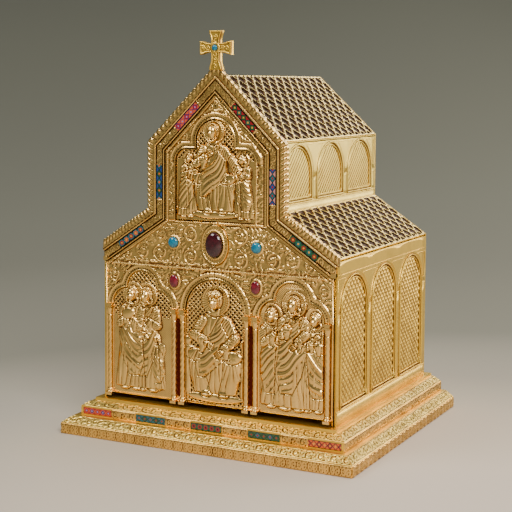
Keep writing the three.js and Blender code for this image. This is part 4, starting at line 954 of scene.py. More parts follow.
def drilled(x, z, niche, gap):
    """Drill marks along a niche's inner edge as painted shade: dark dots on each lobe's circle, 3.4 mm
    outside the opening.
    """
    pit = np.zeros_like(x)
    for side in (-1, 1):
        cx = niche["x"] + side * (niche["half"] - niche["side"])
        side_lobe = (cx, niche["side_z"], niche["side"])
        for mx, mz, radius in (side_lobe, (niche["x"], niche["top_z"], niche["top"])):
            r = np.hypot(x - mx, z - mz)
            count = round(TAU * (radius + 3.4) / 3.1)
            turn = np.arctan2(z - mz, x - mx) * count / TAU
            off = np.hypot(((turn + 0.5) % 1 - 0.5) * 3.1, r - radius - 3.4)
            pit = np.maximum(pit, (1 - smooth(off, 0.55, 0.95)) * (np.abs(gap - 3.4) < 1.1))
    return pit


def leaf_heights(x, z):
    """Heights over the plate, painted pit shade and painted red shadow of a leaf; x is measured outwards from
    the seam.
    """
    side, middle, gable = (niche_gap(NICHES[name], x, z) for name in ("right", "centre", "gable"))
    low, high = z < arcade_top, z > knee_z
    gap = np.where(high, gable, np.minimum(side, middle))
    gap = np.where(~low & ~high, 99, gap)
    inlay = np.zeros_like(x)

    def flow(px, pz):
        return 2.4 * math.sin(0.11 * px + 0.05 * pz) + 0.9


    def free(px, pz):
        clear = min(math.hypot(px - s[0], pz - s[1]) - s[3] for s in SCROLLS)
        return clear > 1.5 and abs(pz - foot_z) > 2 and abs(pz - knee_z) > 2 and px > -3

    foliage(inlay, x, z, free, 6.0, 9.0, 1.4, flow, 7)
    for scroll in SCROLLS:
        cx, cz, start, radius, turns, hand = scroll
        disc = np.hypot(x - cx, z - cz) < radius
        inlay[disc] = 0
        spiral(inlay, x, z, (cx, cz), start, radius, turns, hand, 1.35, max(0.7, 0.1 * radius))
    for centre, radius in (((small_x, small_z), 10.0), ((stone_x, stone_z), 9.5)):
        for k in range(14):
            a = TAU * k / 14
            root = (centre[0] + radius * math.cos(a), centre[1] + radius * math.sin(a))
            leaf(inlay, x, z, root, a, 5.4, 4.2, 1.4)
    field = 1.35 + stipple(x, z, 0.13, 1.7) + np.minimum(inlay, 1.9)
    lift = np.where(low, 0.3, 0.0)
    arch = (gap < 8.5) & (low & (z > spring_z) | high & (z > NICHES["gable"]["side_z"]))
    arch = arch | high & (gap < 2.6)
    fillets = 1.1 * dome((gap - 1.2) / 1.2) + 1.1 * dome((gap - 7.3) / 1.2)
    band = 2.75 + np.maximum(fillets, 0.35 * stipple(x, z, 1.0, 2.3) * (gap > 4.2))
    h = np.where(arch, band, field + lift)
    # Painted shade: the drill marks go black through the pit value.
    pit = 1.5 * sum(drilled(x, z, NICHES[name], g) for name, g in (("right", side), ("centre", middle)))
    pit = pit * low * (z > spring_z) + 1.5 * drilled(x, z, NICHES["gable"], gable) * high
    shaft = low & (z <= spring_z)
    pier = np.abs(x - (COLUMNS[0] + COLUMNS[1]) / 2)
    h = np.where(shaft, 1.0, h)
    # Painted shadow: the sunk gap between each pair of columns is tinted deep red.
    red_shade = 1.0 * (shaft & (pier < 3.4) & (z < capital_z - 5) & (z > leaf_bottom + 6))
    pit = np.where(red_shade > 0, 0, pit)
    h = np.where(shaft & (x > COLUMNS[2] + 4.4), 3.2, h)
    h = np.where(low & (z < leaf_bottom + 2), 2.6, h)
    h = h * smooth(gap, 0, 0.8)
    for level in (foot_z - 2.1, knee_z - 0.9):
        away = np.abs(z - level)
        h = np.where(away < 1.3, 3.1 + 0 * h, h)
        beads(h, x, z, (0, level), (160, level), 2.6, 1.15, 1.0, 3.1)
    corners = [(153.8, foot_z - DOOR_GAP), (68.9, knee_z - 0.75),
               (68.9, shoulder_z - 0.58), (0.3, apex_z - 2.3)]
    for (ax, az), (bx, bz) in zip(corners[:-1], corners[1:]):
        length = math.hypot(bx - ax, bz - az)
        nx, nz = -(bz - az) / length, (bx - ax) / length
        inward = ((x - ax) * nx + (z - az) * nz)
        reach = ((x - ax) * (bx - ax) + (z - az) * (bz - az)) / length
        strip = (inward > 0) & (inward < 4.4) & (reach > -1) & (reach < length + 1)
        edge = np.where(inward < 3.2, 2.0 + 0.6 * dome((inward - 0.5) / 0.6), 1.0)
        h = np.where(strip, edge, h)
        start = (ax + 2.0 * nx, az + 2.0 * nz)
        beads(h, x, z, start, (start[0] + bx - ax, start[1] + bz - az), 2.3, 1.1, 1.0, 2.0)
    collar(h, x, z, (small_x, small_z), 6.1, 8.0)
    collar(h, x, z, (stone_x, stone_z), 6.7, 6.7)
    q = np.hypot(x / mount_high[0], (z - stone_z) / (mount_high[2] - stone_z))
    out = (q - 1) * mount_high[0]
    h = np.where(out < 0, 0, np.where(out < 1.8, 2.2 * smooth(out, 0, 0.6), h))
    return h, pit, red_shade


def column(shell, x, y, low, high, sign):
    """A shaft with a moulded base and a leafy capital, turned from rings, between two square blocks."""
    shell.box((x - 4.2, y - 4.2, low), (x + 4.2, y + 3, low + 3.2))
    z = np.concatenate([low + 3.2 + np.linspace(0, 6, 13), np.linspace(low + 9.8, high - 9, 46),
                        high - 8.4 + np.linspace(0, 8.4, 20)])
    t = z - low - 3.2
    radius = 3.0 + 1.2 * dome((t - 1.1) / 1.2) + 0.75 * dome((t - 4.2) / 1.0) + 0.5 * (t < 2.4)
    cup = (z - high + 8) / 8
    radius += 0.6 * dome((z - high + 8.8) / 0.7) + np.where(cup > 0, 1.3 * np.clip(cup, 0, 1) ** 1.6, 0)
    turn = turns(22)
    cord = 0.22 * np.cos(3 * turn[None] + sign * TAU * z[:, None] / 7.5) * ((t > 6) & (cup < -0.2))[:, None]
    frond = 0.55 * np.abs(np.cos(4 * turn[None])) * (np.sin(np.pi * np.clip(cup, 0, 1)) ** 0.7)[:, None]
    around = radius[:, None] + cord + frond
    ring_z = np.repeat(z[:, None], 22, 1)
    rings = np.stack([x + around * np.cos(turn), y + around * np.sin(turn), ring_z], -1)
    shade = np.clip(0.5 - 0.9 * (cord + frond - 0.15 * (frond > 0)), 0, 1)
    shell.sweep(rings, hollow=shade)
    shell.box((x - 4.2, y - 4.2, high), (x + 4.2, y + 3, high + 1.8))
    shell.box((x - 3.3, y - 3.3, high + 1.8), (x + 3.3, y + 3, high + 4.6))
    shell.box((x - 4.2, y - 4.2, high + 4.6), (x + 4.2, y + 3, high + 6.5))


def door_leaf(name, sign, step=0.86):
    """A leaf as stacked slabs, cut where its outline jumps; sign is 1 on the right and -1 on the left."""
    shell = Shell()
    mount_reach = mount_high[2] - stone_z + NOTCH_GAP
    crowns = [(stone_z, mount_reach), (stone_z, -mount_reach)]
    crowns += [(NICHES[k]["top_z"], NICHES[k]["top"] + NOTCH_GAP) for k in ("centre", "gable")]
    crowns.append((NICHES["gable"]["side_z"], NICHES["gable"]["side"] + NOTCH_GAP))
    cuts = [leaf_bottom, foot_z - DOOR_GAP, knee_z - 1.3, apex_z - 2.27]
    if sign < 0:
        cuts += [centre_low[2] - MARGIN - NOTCH_GAP, spring_z + centre_half + NOTCH_GAP]
        cuts += [gable_floor - NOTCH_GAP]
        cuts += [stone_z - mount_reach, stone_z + mount_reach, sum(crowns[4]), sum(crowns[3])]
    cuts = sorted(cuts)
    for low, high in zip(cuts[:-1], cuts[1:]):
        z = rows_for(low + 0.004, high - 0.004, min(step, (high - low) / 3), crowns if sign < 0 else ())
        inner = notch_edge(z) if sign < 0 else np.full(z.shape, SEAM)
        outer = door_edge(z)
        n = max(12, int((outer - inner).max() / step))
        x = inner[:, None] + (outer - inner)[:, None] * np.linspace(0, 1, n)[None]
        z = np.repeat(z[:, None], n, 1)
        h, pit, red_shade = leaf_heights(x, z)
        hollow = np.maximum(cavity(h, 7, 0.85), pit)
        if sign < 0:
            x, z, h, hollow, red_shade = (a[:, ::-1] for a in (-x, z, h, hollow, red_shade))
        front = np.stack([x, facade_y - h, z], -1)
        back = np.stack([x, np.full_like(x, facade_y + PLATE), z], -1)
        shell.relief(front, back, hollow, red_shade)
    for x in COLUMNS:
        column(shell, sign * x, facade_y - 3, sill_top + 3.5, capital_z, sign)
    turn = turns(16)
    pin_x, pin_y = sign * (leaf_x - 1), facade_y - 2
    pin = np.array([[[pin_x + 1.2 * math.cos(a), pin_y + 1.2 * math.sin(a), z] for a in turn]
                    for z in (leaf_low[2], foot_z + 1.5)])
    shell.sweep(pin)
    body = "right_door" if sign > 0 else "left_door"
    return shell.object(name + "_chased", body, "relief_gilt", CHASED_GOLD, (name,))


door_leaf("door_leaf_right", 1)
door_leaf("door_leaf_left", -1)

# %% [markdown]
# The frame round the doors is a strip that follows the opening: two fillets with a band of scrolls and
# enamels between them, and a crest of small leaves outside. Rows of its grid are offsets of the opening's
# line, and the crest's outer row is scalloped. Chased scrolls are drawn along the strip and across it.


# %% Front frame
BAND = 14.2
CREST = 11.0
CREST_PITCH = 6.6


def frame_corner(k, t):
    """Corner k of the opening's line (0 at the right foot, 3 at the apex) moved outwards by t."""
    aisle_long, nave_long = math.hypot(1, aisle_slope), math.hypot(1, nave_slope)
    if k == 0:
        foot = min(159.0, foot_x + t * aisle_long / aisle_slope) if t <= BAND else 161.5
        return foot, knee_z + t * aisle_long - aisle_slope * (foot - opening_half)
    if k == 1:
        return opening_half + t, knee_z + t * aisle_long - aisle_slope * t
    if k == 2:
        return opening_half + t, shoulder_z + t * nave_long - nave_slope * t
    return 0.0, apex_z + t * nave_long


def front_frame(step=0.92):
    """The strip's heights: fillets, sunk lines painted black as painted shade, scrolled band with sunk
    inlays, leafed crest.
    """
    inlays = [span("%s_enamel_%s" % (kind, hand)) for kind in ("aisle", "upright", "gable")
              for hand in ("right", "left")]
    pockets = [(low + high) / 2 for low, high in inlays]
    path = [(-1, 0), (-1, 1), (-1, 2), (1, 3), (1, 2), (1, 1), (1, 0)]
    rows_band = [np.linspace(0, 1.7, 4), np.linspace(2.2, 12.1, 12), np.linspace(12.6, BAND, 3)]
    rows_band = np.concatenate(rows_band)
    crest_share = np.linspace(0.04, 1, 12)
    columns, stations = [], []
    travelled = 0.0
    for (side_a, a), (side_b, b) in zip(path[:-1], path[1:]):
        first, last = np.array(frame_corner(a, 7.1)), np.array(frame_corner(b, 7.1))
        length = math.hypot(side_a * first[0] - side_b * last[0], first[1] - last[1])
        lobes = max(1, round(length / CREST_PITCH))
        count = int(length / step)
        for u in np.linspace(0, 1, count + 1)[(1 if stations else 0):]:
            scallop = abs(math.sin(math.pi * lobes * u)) ** 0.6
            crest_top = CREST - 1.5 + 1.5 * scallop
            ts = np.concatenate([rows_band, BAND + crest_share * crest_top])
            ends = [[(side * frame_corner(k, t)[0], frame_corner(k, t)[1]) for t in ts] for side, k in
                    ((side_a, a), (side_b, b))]
            ends = np.array(ends)
            columns.append(ends[0] + (ends[1] - ends[0]) * u)
            stations.append((travelled + u * length, lobes * u, ts))
        travelled += length
    grid = np.array(columns).transpose(1, 0, 2)
    s = np.array([row[0] for row in stations])[None] + 0 * grid[..., 0]
    lobe = np.array([row[1] for row in stations])[None] + 0 * s
    t = np.array([row[2] for row in stations]).T
    ornament = np.zeros_like(s)
    for k, centre in enumerate(np.arange(6, travelled, 9.4)):
        spiral(ornament, s, t, (centre, 7.1), (-1) ** k * 2.4, 4.1, 1.4, (-1) ** k, 1.0, 0.6, 4)
    band = 2.5 + ornament + 0.4 * dome((t - 3.3) / 0.6) + 0.4 * dome((t - 10.9) / 0.6)
    for place in pockets:
        near = np.hypot(grid[..., 0] - place[0], grid[..., 1] - place[2]) < 24
        angle = math.atan(aisle_slope) if place[2] < knee_z else math.atan(nave_slope)
        angle = math.pi / 2 if knee_z < place[2] < shoulder_z else -angle * math.copysign(1, place[0])
        dx, dz = grid[..., 0] - place[0], grid[..., 1] - place[2]
        u = np.abs(dx * math.cos(angle) + dz * math.sin(angle)) - 21.15
        v = np.abs(dz * math.cos(angle) - dx * math.sin(angle)) - 4.5
        rim = np.maximum(u, v)
        band = np.where(near & (rim < 1.1), 3.9, band)
        band = np.where(near & (rim < 0.1), 2.4, band)
    leafy = (lobe + 0.5) % 1 - 0.5
    out = (t - BAND) / CREST
    centre = (lobe % 1) - 0.5
    petal = dome(centre / 0.5) * (0.6 + 0.4 * dome((out - 0.55) / 0.5))
    petal -= 0.35 * np.exp(-((centre / 0.07) ** 2))
    ball = np.hypot(centre * CREST_PITCH, t - BAND - 7.4) / 1.75
    seed = np.hypot(leafy * CREST_PITCH, t - BAND - 2.2) / 1.2
    crest = 0.9 + 1.1 * petal + 1.0 * dome(ball) + 1.0 * dome(seed)
    fillet = 3.6 + 0.9 * np.maximum(dome((t - 0.85) / 0.9), dome((t - 13.4) / 0.9))
    h = np.where(t > BAND + 0.1, crest, np.where((t < 1.72) | (t > 12.3), fillet, band))
    line = np.exp(-(((t - 2.2) / 0.5) ** 2)) + np.exp(-(((t - 12.1) / 0.5) ** 2))
    h = h - 0.8 * line * (t < BAND)
    # Painted shade: the sunk lines beside the fillets go black.
    groove_shade = (t > 1.75) & (t < 3.2) | (t > 11.1) & (t < 12.55)
    hollow = np.maximum(cavity(h, 5, 0.55), 1.5 * groove_shade * (line + 0.6))
    shell = Shell()
    front = np.stack([grid[..., 0], facade_y - h, grid[..., 1]], -1)
    back = np.stack([grid[..., 0], np.full_like(s, facade_y + 4), grid[..., 1]], -1)
    shell.relief(*(part[::-1].transpose(1, 0, 2) for part in (front, back)), hollow[::-1].T)
    for side in (-1, 1):
        block = sorted((side * 153.0, side * 159.0))
        shell.box((block[0], facade_y - 4.4, foot_z), (block[1], facade_y + 4, foot_z + 5))
    return shell.object("front_frame_chased", "house", "relief_gilt", CHASED_GOLD, ("front_frame",))


front_frame()

# %% [markdown]
# The walls are sheet brass with arched windows pressed into them. Each wall is a plain base plate, an
# outer plate with the arches cut out, a quilted net in each window and double mouldings round it. The
# net is a grid of small pyramids: points where the steps along and up add to an even number stand out.


# %% Walls
class Board:
    """A flat drawing board in space: an origin, a right and an up direction, and the normal they give."""

    def __init__(self, origin, right, up):
        self.origin, self.right, self.up = (np.array(v, float) for v in (origin, right, up))
        self.right /= np.linalg.norm(self.right)
        self.up /= np.linalg.norm(self.up)
        self.normal = np.cross(self.right, self.up)

    def lift(self, u, v, h):
        """Points u to the right, v up and h outwards, for arrays of one shape."""
        u, v, h = np.broadcast_arrays(u, v, h)
        return self.origin + u[..., None] * self.right + v[..., None] * self.up + h[..., None] * self.normal

    def panel(self, shell, u, v, h, back, hollow=None, is_smooth=True):
        shell.relief(self.lift(u, v, h), self.lift(u, v, back), hollow, None, is_smooth)

    def cord(self, shell, path, h, radius, closed=True, hollow=0.2):
        """A round moulding along points (m, 2) of the board."""
        path = np.array(path, float)
        if closed:
            ahead = np.roll(path, -1, 0) - np.roll(path, 1, 0)
        else:
            ahead = np.gradient(path, axis=0)
        ahead /= np.linalg.norm(ahead, axis=1)[:, None]
        turn = turns(8)
        side = np.stack([ahead[:, 1], -ahead[:, 0]], 1)
        u = path[:, :1] + radius * np.cos(turn) * side[:, :1]
        v = path[:, 1:] + radius * np.cos(turn) * side[:, 1:]
        shell.sweep(self.lift(u, v, h + radius * np.sin(turn)), closed, np.full(u.shape, hollow))


WINDOW_PLACES = (-86.25, 11.45, 109.15)
WINDOW_RADIUS = 42.0


def arch_path(centre, radius, spring, sill, inset=0.0, steps=26):
    """Outline of an arched window, from its sill up one side, over, and down the other."""
    r = radius - inset
    turn = np.linspace(0, math.pi, steps)
    path = [(centre + r * math.cos(a), spring + r * math.sin(a)) for a in turn]
    down = [(centre - r, spring + (sill + inset - spring) * k / 6) for k in range(1, 7)]
    along = [(centre - r + 2 * r * k / 8, sill + inset) for k in range(1, 8)]
    up = [(centre + r, sill + inset + (spring - sill - inset) * k / 6) for k in range(0, 6)]
    return path + down + along + up


def stretch(name, side):
    """A node's length along its board: from its front to its back on the right, the other way on the left."""
    low, high = span(name)
    near, far = round(float(low[1]), 2), round(float(high[1]), 2)
    return (near, far) if side > 0 else (-far, -near)


def pierced_sheet(shell, board, low, high, floor, top, places, sill, spring):
    """The outer plate, 1.6 mm thick, in parts round the windows: above, below and between them."""
    u = [low]
    for y in places:
        u += [y - WINDOW_RADIUS * math.cos(a) for a in np.linspace(0, math.pi, 41)]
    u = np.array(u + [high])
    arch = np.full(u.shape, spring)
    for y in places:
        inside = np.abs(u - y) <= WINDOW_RADIUS
        arch = np.where(inside, spring + np.sqrt(np.clip(WINDOW_RADIUS**2 - (u - y) ** 2, 0, None)), arch)
    share = np.linspace(0, 1, 9)[:, None] ** 0.8
    v = arch[None] + (top - arch[None]) * share
    u = np.repeat(u[None], 9, 0)
    board.panel(shell, u, v, 0 * u, -1.6, np.full(u.shape, 0.35))
    u, v = np.meshgrid(np.linspace(low, high, 60), np.linspace(floor, sill, 3))
    board.panel(shell, u, v, 0 * u, -1.6, np.full(u.shape, 0.1))
    edges = [low, *(y + reach for y in places for reach in (-WINDOW_RADIUS, WINDOW_RADIUS)), high]
    for a, b in zip(edges[::2], edges[1::2]):
        u, v = np.meshgrid(np.linspace(a, b, 3), np.linspace(sill, spring, 8))
        board.panel(shell, u, v, 0 * u, -1.6, np.full(u.shape, 0.3))


def flutes(shell, board, side, y, sill, spring):
    """Slanting cords across a window, cut to its outline and painted dark as painted shade lines."""
    tall = spring + NET_HALF - sill
    for start in np.arange(y - 39 - spring - 39 + sill, y + NET_HALF, FLUTE_PITCH):
        points = [(start + w if side > 0 else 2 * y - start - w, sill + 3.6 + w)
                  for w in np.linspace(0, tall, 180)]
        points = [p for p in points if math.hypot(p[0] - y, max(0, p[1] - spring)) < NET_HALF - 1.2]
        if len(points) > 8:
            ends = [points[0], points[len(points) // 2], points[-1]]
            board.cord(shell, ends, -1.45, 0.5, False, 0.95)


def quilt(shell, board, y, sill, spring):
    """A net of small pyramids over a window, every other corner raised by 0.95 mm; the sunk corners and the
    net's edge are painted dark as painted shade.
    """
    across = int(2 * NET_HALF / NET_PITCH) + 1
    climb = int((spring + NET_HALF - sill - 3) / NET_PITCH) + 1
    i, j = np.meshgrid(np.arange(across), np.arange(climb))
    even = (i + j) % 2 == 0
    u = y - NET_HALF + i * 2 * NET_HALF / (across - 1)
    v = sill + 3 + j * (spring + NET_HALF - 3 - sill) / (climb - 1)
    out = np.hypot(u - y, np.clip(v - spring, 0, None)) > NET_HALF - 0.8
    peaks = board.lift(u, v, np.where(out, -1.5, -1.45 + 0.95 * even))
    net_shade = np.where(out, 1.0, np.where(even, 0.3, 0.85))
    shell.pyramids(peaks, board.lift(u, v, 0 * u - 1.7), net_shade)


def spandrels(shell, board, low, high, places, spring):
    """A cord round each field between two arches: along the arches, and straight at the top."""
    line, radius = spring + WINDOW_RADIUS - 1.5, WINDOW_RADIUS + 4.5
    for a, b in zip([low, *places], [*places, high]):
        arches = [y for y in (a, b) if y in places]
        start, end = a + (0 if a in places else 2.5), b - (0 if b in places else 2.5)
        points = []
        for w in np.linspace(start, end, 90):
            rim = [spring + math.sqrt(max(0, radius**2 - (w - y) ** 2)) for y in arches]
            floor = max([spring + 6, *rim])
            if floor < line - 0.8:
                points.append((w, floor))
        if len(points) > 4:
            back = [(points[-1][0] + (points[0][0] - points[-1][0]) * k / 10, line) for k in range(11)]
            board.cord(shell, points + back, 0.0, 0.55)


def wall(name, side, face, window, fluted, finish):
    """A wall with three windows from sill to spring; fluted chooses cords in place of the quilted net."""
    shell = Shell()
    board = Board((side * face, 0, 0), (0, side, 0), (0, 0, 1))
    floor, top = (corner[2] for corner in span(name))
    low, high = stretch(name, side)
    sill, spring = window
    places = sorted(side * y for y in WINDOW_PLACES)
    u, v = np.meshgrid(np.linspace(low, high, 5), np.linspace(floor, top, 4))
    # Painted shade: the base plate behind a netted window is painted fully dark.
    board.panel(shell, u, v, 0 * u - 1.5, -2.5, np.full(u.shape, 0.35 if fluted else 1.0), False)
    pierced_sheet(shell, board, low, high, floor, top, places, sill, spring)
    for y in places:
        outline = arch_path(y, WINDOW_RADIUS, spring, sill, 0.6)
        # Painted shade: the outer cord round each window is painted dark.
        board.cord(shell, outline, -1.25, 1.95, hollow=0.95)
        board.cord(shell, outline, 0.1, 0.95)
        board.cord(shell, arch_path(y, WINDOW_RADIUS, spring, sill, 4.2), -0.55, 0.8, hollow=0.3)
        if fluted:
            flutes(shell, board, side, y, sill, spring)
        else:
            quilt(shell, board, y, sill, spring)
    spandrels(shell, board, low, high, places, spring)
    for v, thick in ((sill - 2, 0.7), (spring + WINDOW_RADIUS + 3, 0.6)):
        board.cord(shell, [(low + (high - low) * k / 20, v) for k in range(21)], 0, thick, False)
    return shell.object(name + "_pressed", "house", "satin_gilt", finish, (name,))


# The half widths of the house and of its nave, the windows' sills and springs, half the width of what
# fills a window, and the pitches of the net and of the flutes.
HOUSE_HALF = 160.0
NAVE_HALF = 84.5
AISLE_WINDOW = (60.75, 174.75)
NAVE_WINDOW = (298.45, 325.95)
NET_HALF = 39.0
NET_PITCH = 4.7
FLUTE_PITCH = 7.5
for side, hand in ((1, "right"), (-1, "left")):
    wall("side_wall_" + hand, side, HOUSE_HALF, AISLE_WINDOW, False, SATIN_GOLD)
    wall("clerestory_wall_" + hand, side, NAVE_HALF, NAVE_WINDOW, True, PALE_GOLD)
print("walls pressed: 4")

# %% [markdown]
# The roofs wear rows of lens-shaped tiles. Their rims are waves, and each wave is out of step with the
# next, so that two waves close a lens between them: at line j the rim lies at (j + 1/2) * row +
# sway * cos(2 pi u / pitch + pi j). The cells between rims are sunk and painted near black: a painted
# reflection of the dark studio in the polished cells.


# %% Roofs
TILE_PITCH = 21.0
TILE_ROW = 10.7
TILE_SWAY = 3.8
TILE_RIM = 2.35


def roof(name, side, outer, slope, step=1.36):
    """A roof slab from its outer edge up to the edge nearest to the middle, along a line of that slope."""
    near, far = span(name)
    inner, top = min(abs(near[0]), abs(far[0])), far[2]
    run = outer - inner
    foot_level = top - run * slope
    rise = top - foot_level
    length = math.hypot(rise, run)
    board = Board((side * outer, 0, foot_level), (0, side, 0), (-side * run, 0, rise))
    low, high = stretch(name, side)
    rows = int(length / (step * 0.94))
    u, v = np.meshgrid(np.linspace(low, high, int((high - low) / step)), np.linspace(0, length, rows))
    rim = np.full(u.shape, 99.0)
    for j in range(-1, int(length / TILE_ROW) + 2):
        wave = (j + 0.5) * TILE_ROW + TILE_SWAY * np.cos(TAU * u / TILE_PITCH + math.pi * j)
        steep = np.hypot(1, TILE_SWAY * TAU / TILE_PITCH * np.sin(TAU * u / TILE_PITCH + math.pi * j))
        rim = np.minimum(rim, np.abs(v - wave) / steep)
    edge = np.minimum(np.minimum(v, length - v), np.minimum(u - low, high - u))
    rim = np.minimum(rim, np.clip(edge - 0.8, 0, None))
    h = -1.2 + 1.45 * dome(np.clip(rim / TILE_RIM, 0, 1)) ** 1.3 - 0.15 * smooth(rim, TILE_RIM, 5)
    shell = Shell()
    # Painted reflection: the cells between rims take the near-black hollow colour.
    board.panel(shell, u, v, h, -2.0, smooth(rim, 0.3 * TILE_RIM, 0.85 * TILE_RIM))
    return shell.object(name + "_tiled", "house", "roof_gilt", TILE_GOLD, (name,))


for side, hand in ((1, "right"), (-1, "left")):
    roof("aisle_roof_" + hand, side, HOUSE_HALF, aisle_slope)
    roof("nave_roof_" + hand, side, NAVE_HALF, 78.7 / NAVE_HALF)
print("roofs tiled: 4")

# %% [markdown]
# The plinth's steps stay as they are, and chased strips lie on them: circles with flowers on the lower
# edge, running scrolls on the bevel, scroll panels between the enamels, and scrolls once more on the
# upper bevel. The bevels' strips are painted a paler gold than the upright edges: painted light on the
# faces that tilt up to the lamps. Strips on a bevel narrow towards the top, so that they meet in a mitre.


# %% Plinth chasing
def running_scrolls(u, v, high, pitch, rise):
    """Scrolls in a row, turning left and right by turns, with leaves between them."""
    h = np.zeros_like(u)
    radius = high * 0.42
    count = int((u.max() - u.min()) / pitch)
    for k in range(count + 1):
        cx = u.min() + (k + 0.5) * (u.max() - u.min()) / max(1, count)
        hand_turn = 1 if k % 2 == 0 else -1
        spiral(h, u, v, (cx, high / 2), hand_turn * 2.5, radius, 1.4, hand_turn, rise, 0.7, 4)
        for way in (0.7, -0.7):
            root = (cx + pitch * 0.36, high / 2)
            leaf(h, u, v, root, hand_turn * way * 1.6, high * 0.45, high * 0.3, rise)
    return h


def flower_circles(u, v, high, pitch, rise):
    """Rings side by side with a flower in each and a bead between."""
    count = max(1, round((u.max() - u.min()) / pitch))
    pitch = (u.max() - u.min()) / count
    along = ((u - u.min()) / pitch) % 1 - 0.5
    r = np.hypot(along * pitch, v - high / 2)
    ring = dome((r - high * 0.4) / 0.9)
    turn = np.arctan2(v - high / 2, along * pitch)
    petals = dome((r - high * 0.2) / (high * 0.13)) * (0.7 + 0.3 * np.cos(6 * turn))
    boss = dome(r / (high * 0.09))
    between = np.hypot((np.abs(along) - 0.5) * pitch, np.abs(v - high / 2) - high * 0.3)
    return rise * np.maximum(np.maximum(ring, petals), np.maximum(boss, dome(between / 1.2)))


def strip(shell, board, low, high, height, pinches, pattern, pitch, rise, step):
    """A chased strip on a board, from u low to high; its ends move in by the pinches towards the top."""
    rows = max(6, int(height / step))
    n = int((high - low) / step)
    v = np.linspace(0.25, height - 0.25, rows)[:, None]
    share = v / height
    a, b = low + 0.25 + pinches[0] * share, high - 0.25 - pinches[1] * share
    u = a + (b - a) * np.linspace(0, 1, n)[None]
    v = np.repeat(v, n, 1)
    border = np.minimum(v, height - v)
    h = np.where(border < 1.5, 0.55 * dome((border - 0.75) / 0.7), pattern(u, v, height, pitch, rise))
    board.panel(shell, u, v, 0.22 + 0.85 * h, -0.4, cavity(h, 5, 0.5))


def plinth():
    """Strips on the upright edge and on the bevel of both steps, in front and at the sides; the back stays
    plain. Each step has its base, the level of its bevel's foot, the bevel's lean and the scrolls' pitch."""
    bright, deep = Shell(), Shell()
    lower, upper = span("lower_plinth_step"), span("upper_plinth_step")
    steps = ((*lower, 0.0, 13.5, 12.0, 15.5), (*upper, lower[1][2], 33.25, 12.5, 13.5))
    inlays = [span("plinth_enamel_%d" % k) for k in range(1, 6)]
    for side in (0, 1, -1):
        step = 0.92 if side == 0 else 1.15
        for low_box, high_box, base, edge, inwards, pitch in steps:
            climb = high_box[2] - edge
            slant = math.hypot(climb, inwards)
            if side == 0:
                face = Board((0, low_box[1], base), (1, 0, 0), (0, 0, 1))
                bevel = Board((0, low_box[1], edge), (1, 0, 0), (0, inwards, climb))
                low, high, pinches = -high_box[0], high_box[0], (inwards, inwards)
            else:
                face = Board((side * high_box[0], 0, base), (0, side, 0), (0, 0, 1))
                bevel = Board((side * high_box[0], 0, edge), (0, side, 0), (-side * inwards, 0, climb))
                low, high = (low_box[1], high_box[1]) if side > 0 else (-high_box[1], -low_box[1])
                pinches = (inwards, 0) if side > 0 else (0, inwards)
            strip(bright, bevel, low, high, slant, pinches, running_scrolls, pitch, 1.0, step)
            tall = edge - base
            if base == 0:
                strip(deep, face, low, high, tall, (0, 0), flower_circles, 13.5, 1.3, step)
            elif side:
                strip(deep, face, low, high, tall, (0, 0), running_scrolls, 12, 0.9, step)
            else:
                marks = [low] + [e for a, b in inlays for e in (a[0] - 0.5, b[0] + 0.5)] + [high]
                for a, b in zip(marks[::2], marks[1::2]):
                    if b - a > 8:
                        strip(deep, face, a, b, tall, (0, 0), running_scrolls, 11.5, 1.0, step)
    # Painted light: the bevel strips take the paler BEVEL_GOLD, the upright strips EDGE_GOLD.
    bright.object("plinth_bevel_chasing", "house", "satin_gilt", BEVEL_GOLD)
    deep.object("plinth_edge_chasing", "house", "satin_gilt", EDGE_GOLD)


plinth()

# %% [markdown]
# The cross has four flaring arms with a raised edge and small scrolls. It is made from three patches: the
# upright one goes right through, and the two arms meet it at its sides.


# %% Cross
def roof_cross(step=0.55):
    shell = Shell()
    low, high = span("roof_cross")
    arm_low, arm_high = span("cross_stone")
    arm_z = (arm_low[2] + arm_high[2]) / 2
    half, flare = 5.6, 2.6

    def patch(board, start, end, far_low, far_high):
        v = np.linspace(start, end, int((end - start) / step))
        reach = half + flare * (smooth(v, end - 12, end) if far_high else 0)
        reach = reach + flare * (1 - smooth(v, start, start + 12) if far_low else 0)
        n = 22
        u = reach[:, None] * np.linspace(-1, 1, n)[None]
        v = np.repeat(v[:, None], n, 1)
        border = reach[:, None] - np.abs(u)
        if far_high:
            border = np.minimum(border, end - v)
        scrolls = np.zeros_like(u)
        for k, centre in enumerate(np.arange(start + 4.5, end - 3, 6.8)):
            spiral(scrolls, u, v, (0, centre), 1.6, 2.9, 1.3, (-1) ** k, 1.0, 0.6, 0)
        h = -1.3 + np.maximum(1.1 * dome((border - 1.0) / 1.0), scrolls * (border > 2))
        r = np.hypot(board.lift(u, v, h)[..., 0], board.lift(u, v, h)[..., 2] - arm_z)
        h = np.where(r < 6.4, -0.5 + 0.9 * dome((r - 5) / 1.3) * (r > 3.6), h)
        board.panel(shell, u, v, np.minimum(h, 0.3), -8.0, cavity(h, 4, 0.5))

    patch(Board((0, low[1], 0), (1, 0, 0), (0, 0, 1)), low[2], high[2], True, True)
    patch(Board((0, low[1], arm_z), (0, 0, -1), (1, 0, 0)), half - 0.3, high[0], False, True)
    patch(Board((0, low[1], arm_z), (0, 0, 1), (-1, 0, 0)), half - 0.3, high[0], False, True)
    return shell.object("roof_cross_chased", "house", "relief_gilt", SATIN_GOLD, ("roof_cross",))


roof_cross()

# %% [markdown]
# The great garnet sits in an oval mount, which is a disc of rings: out at the back, over a leafy rim and
# a corded bezel, and in under the stone. Every stone is a cabochon, half an ellipsoid of polished rings.


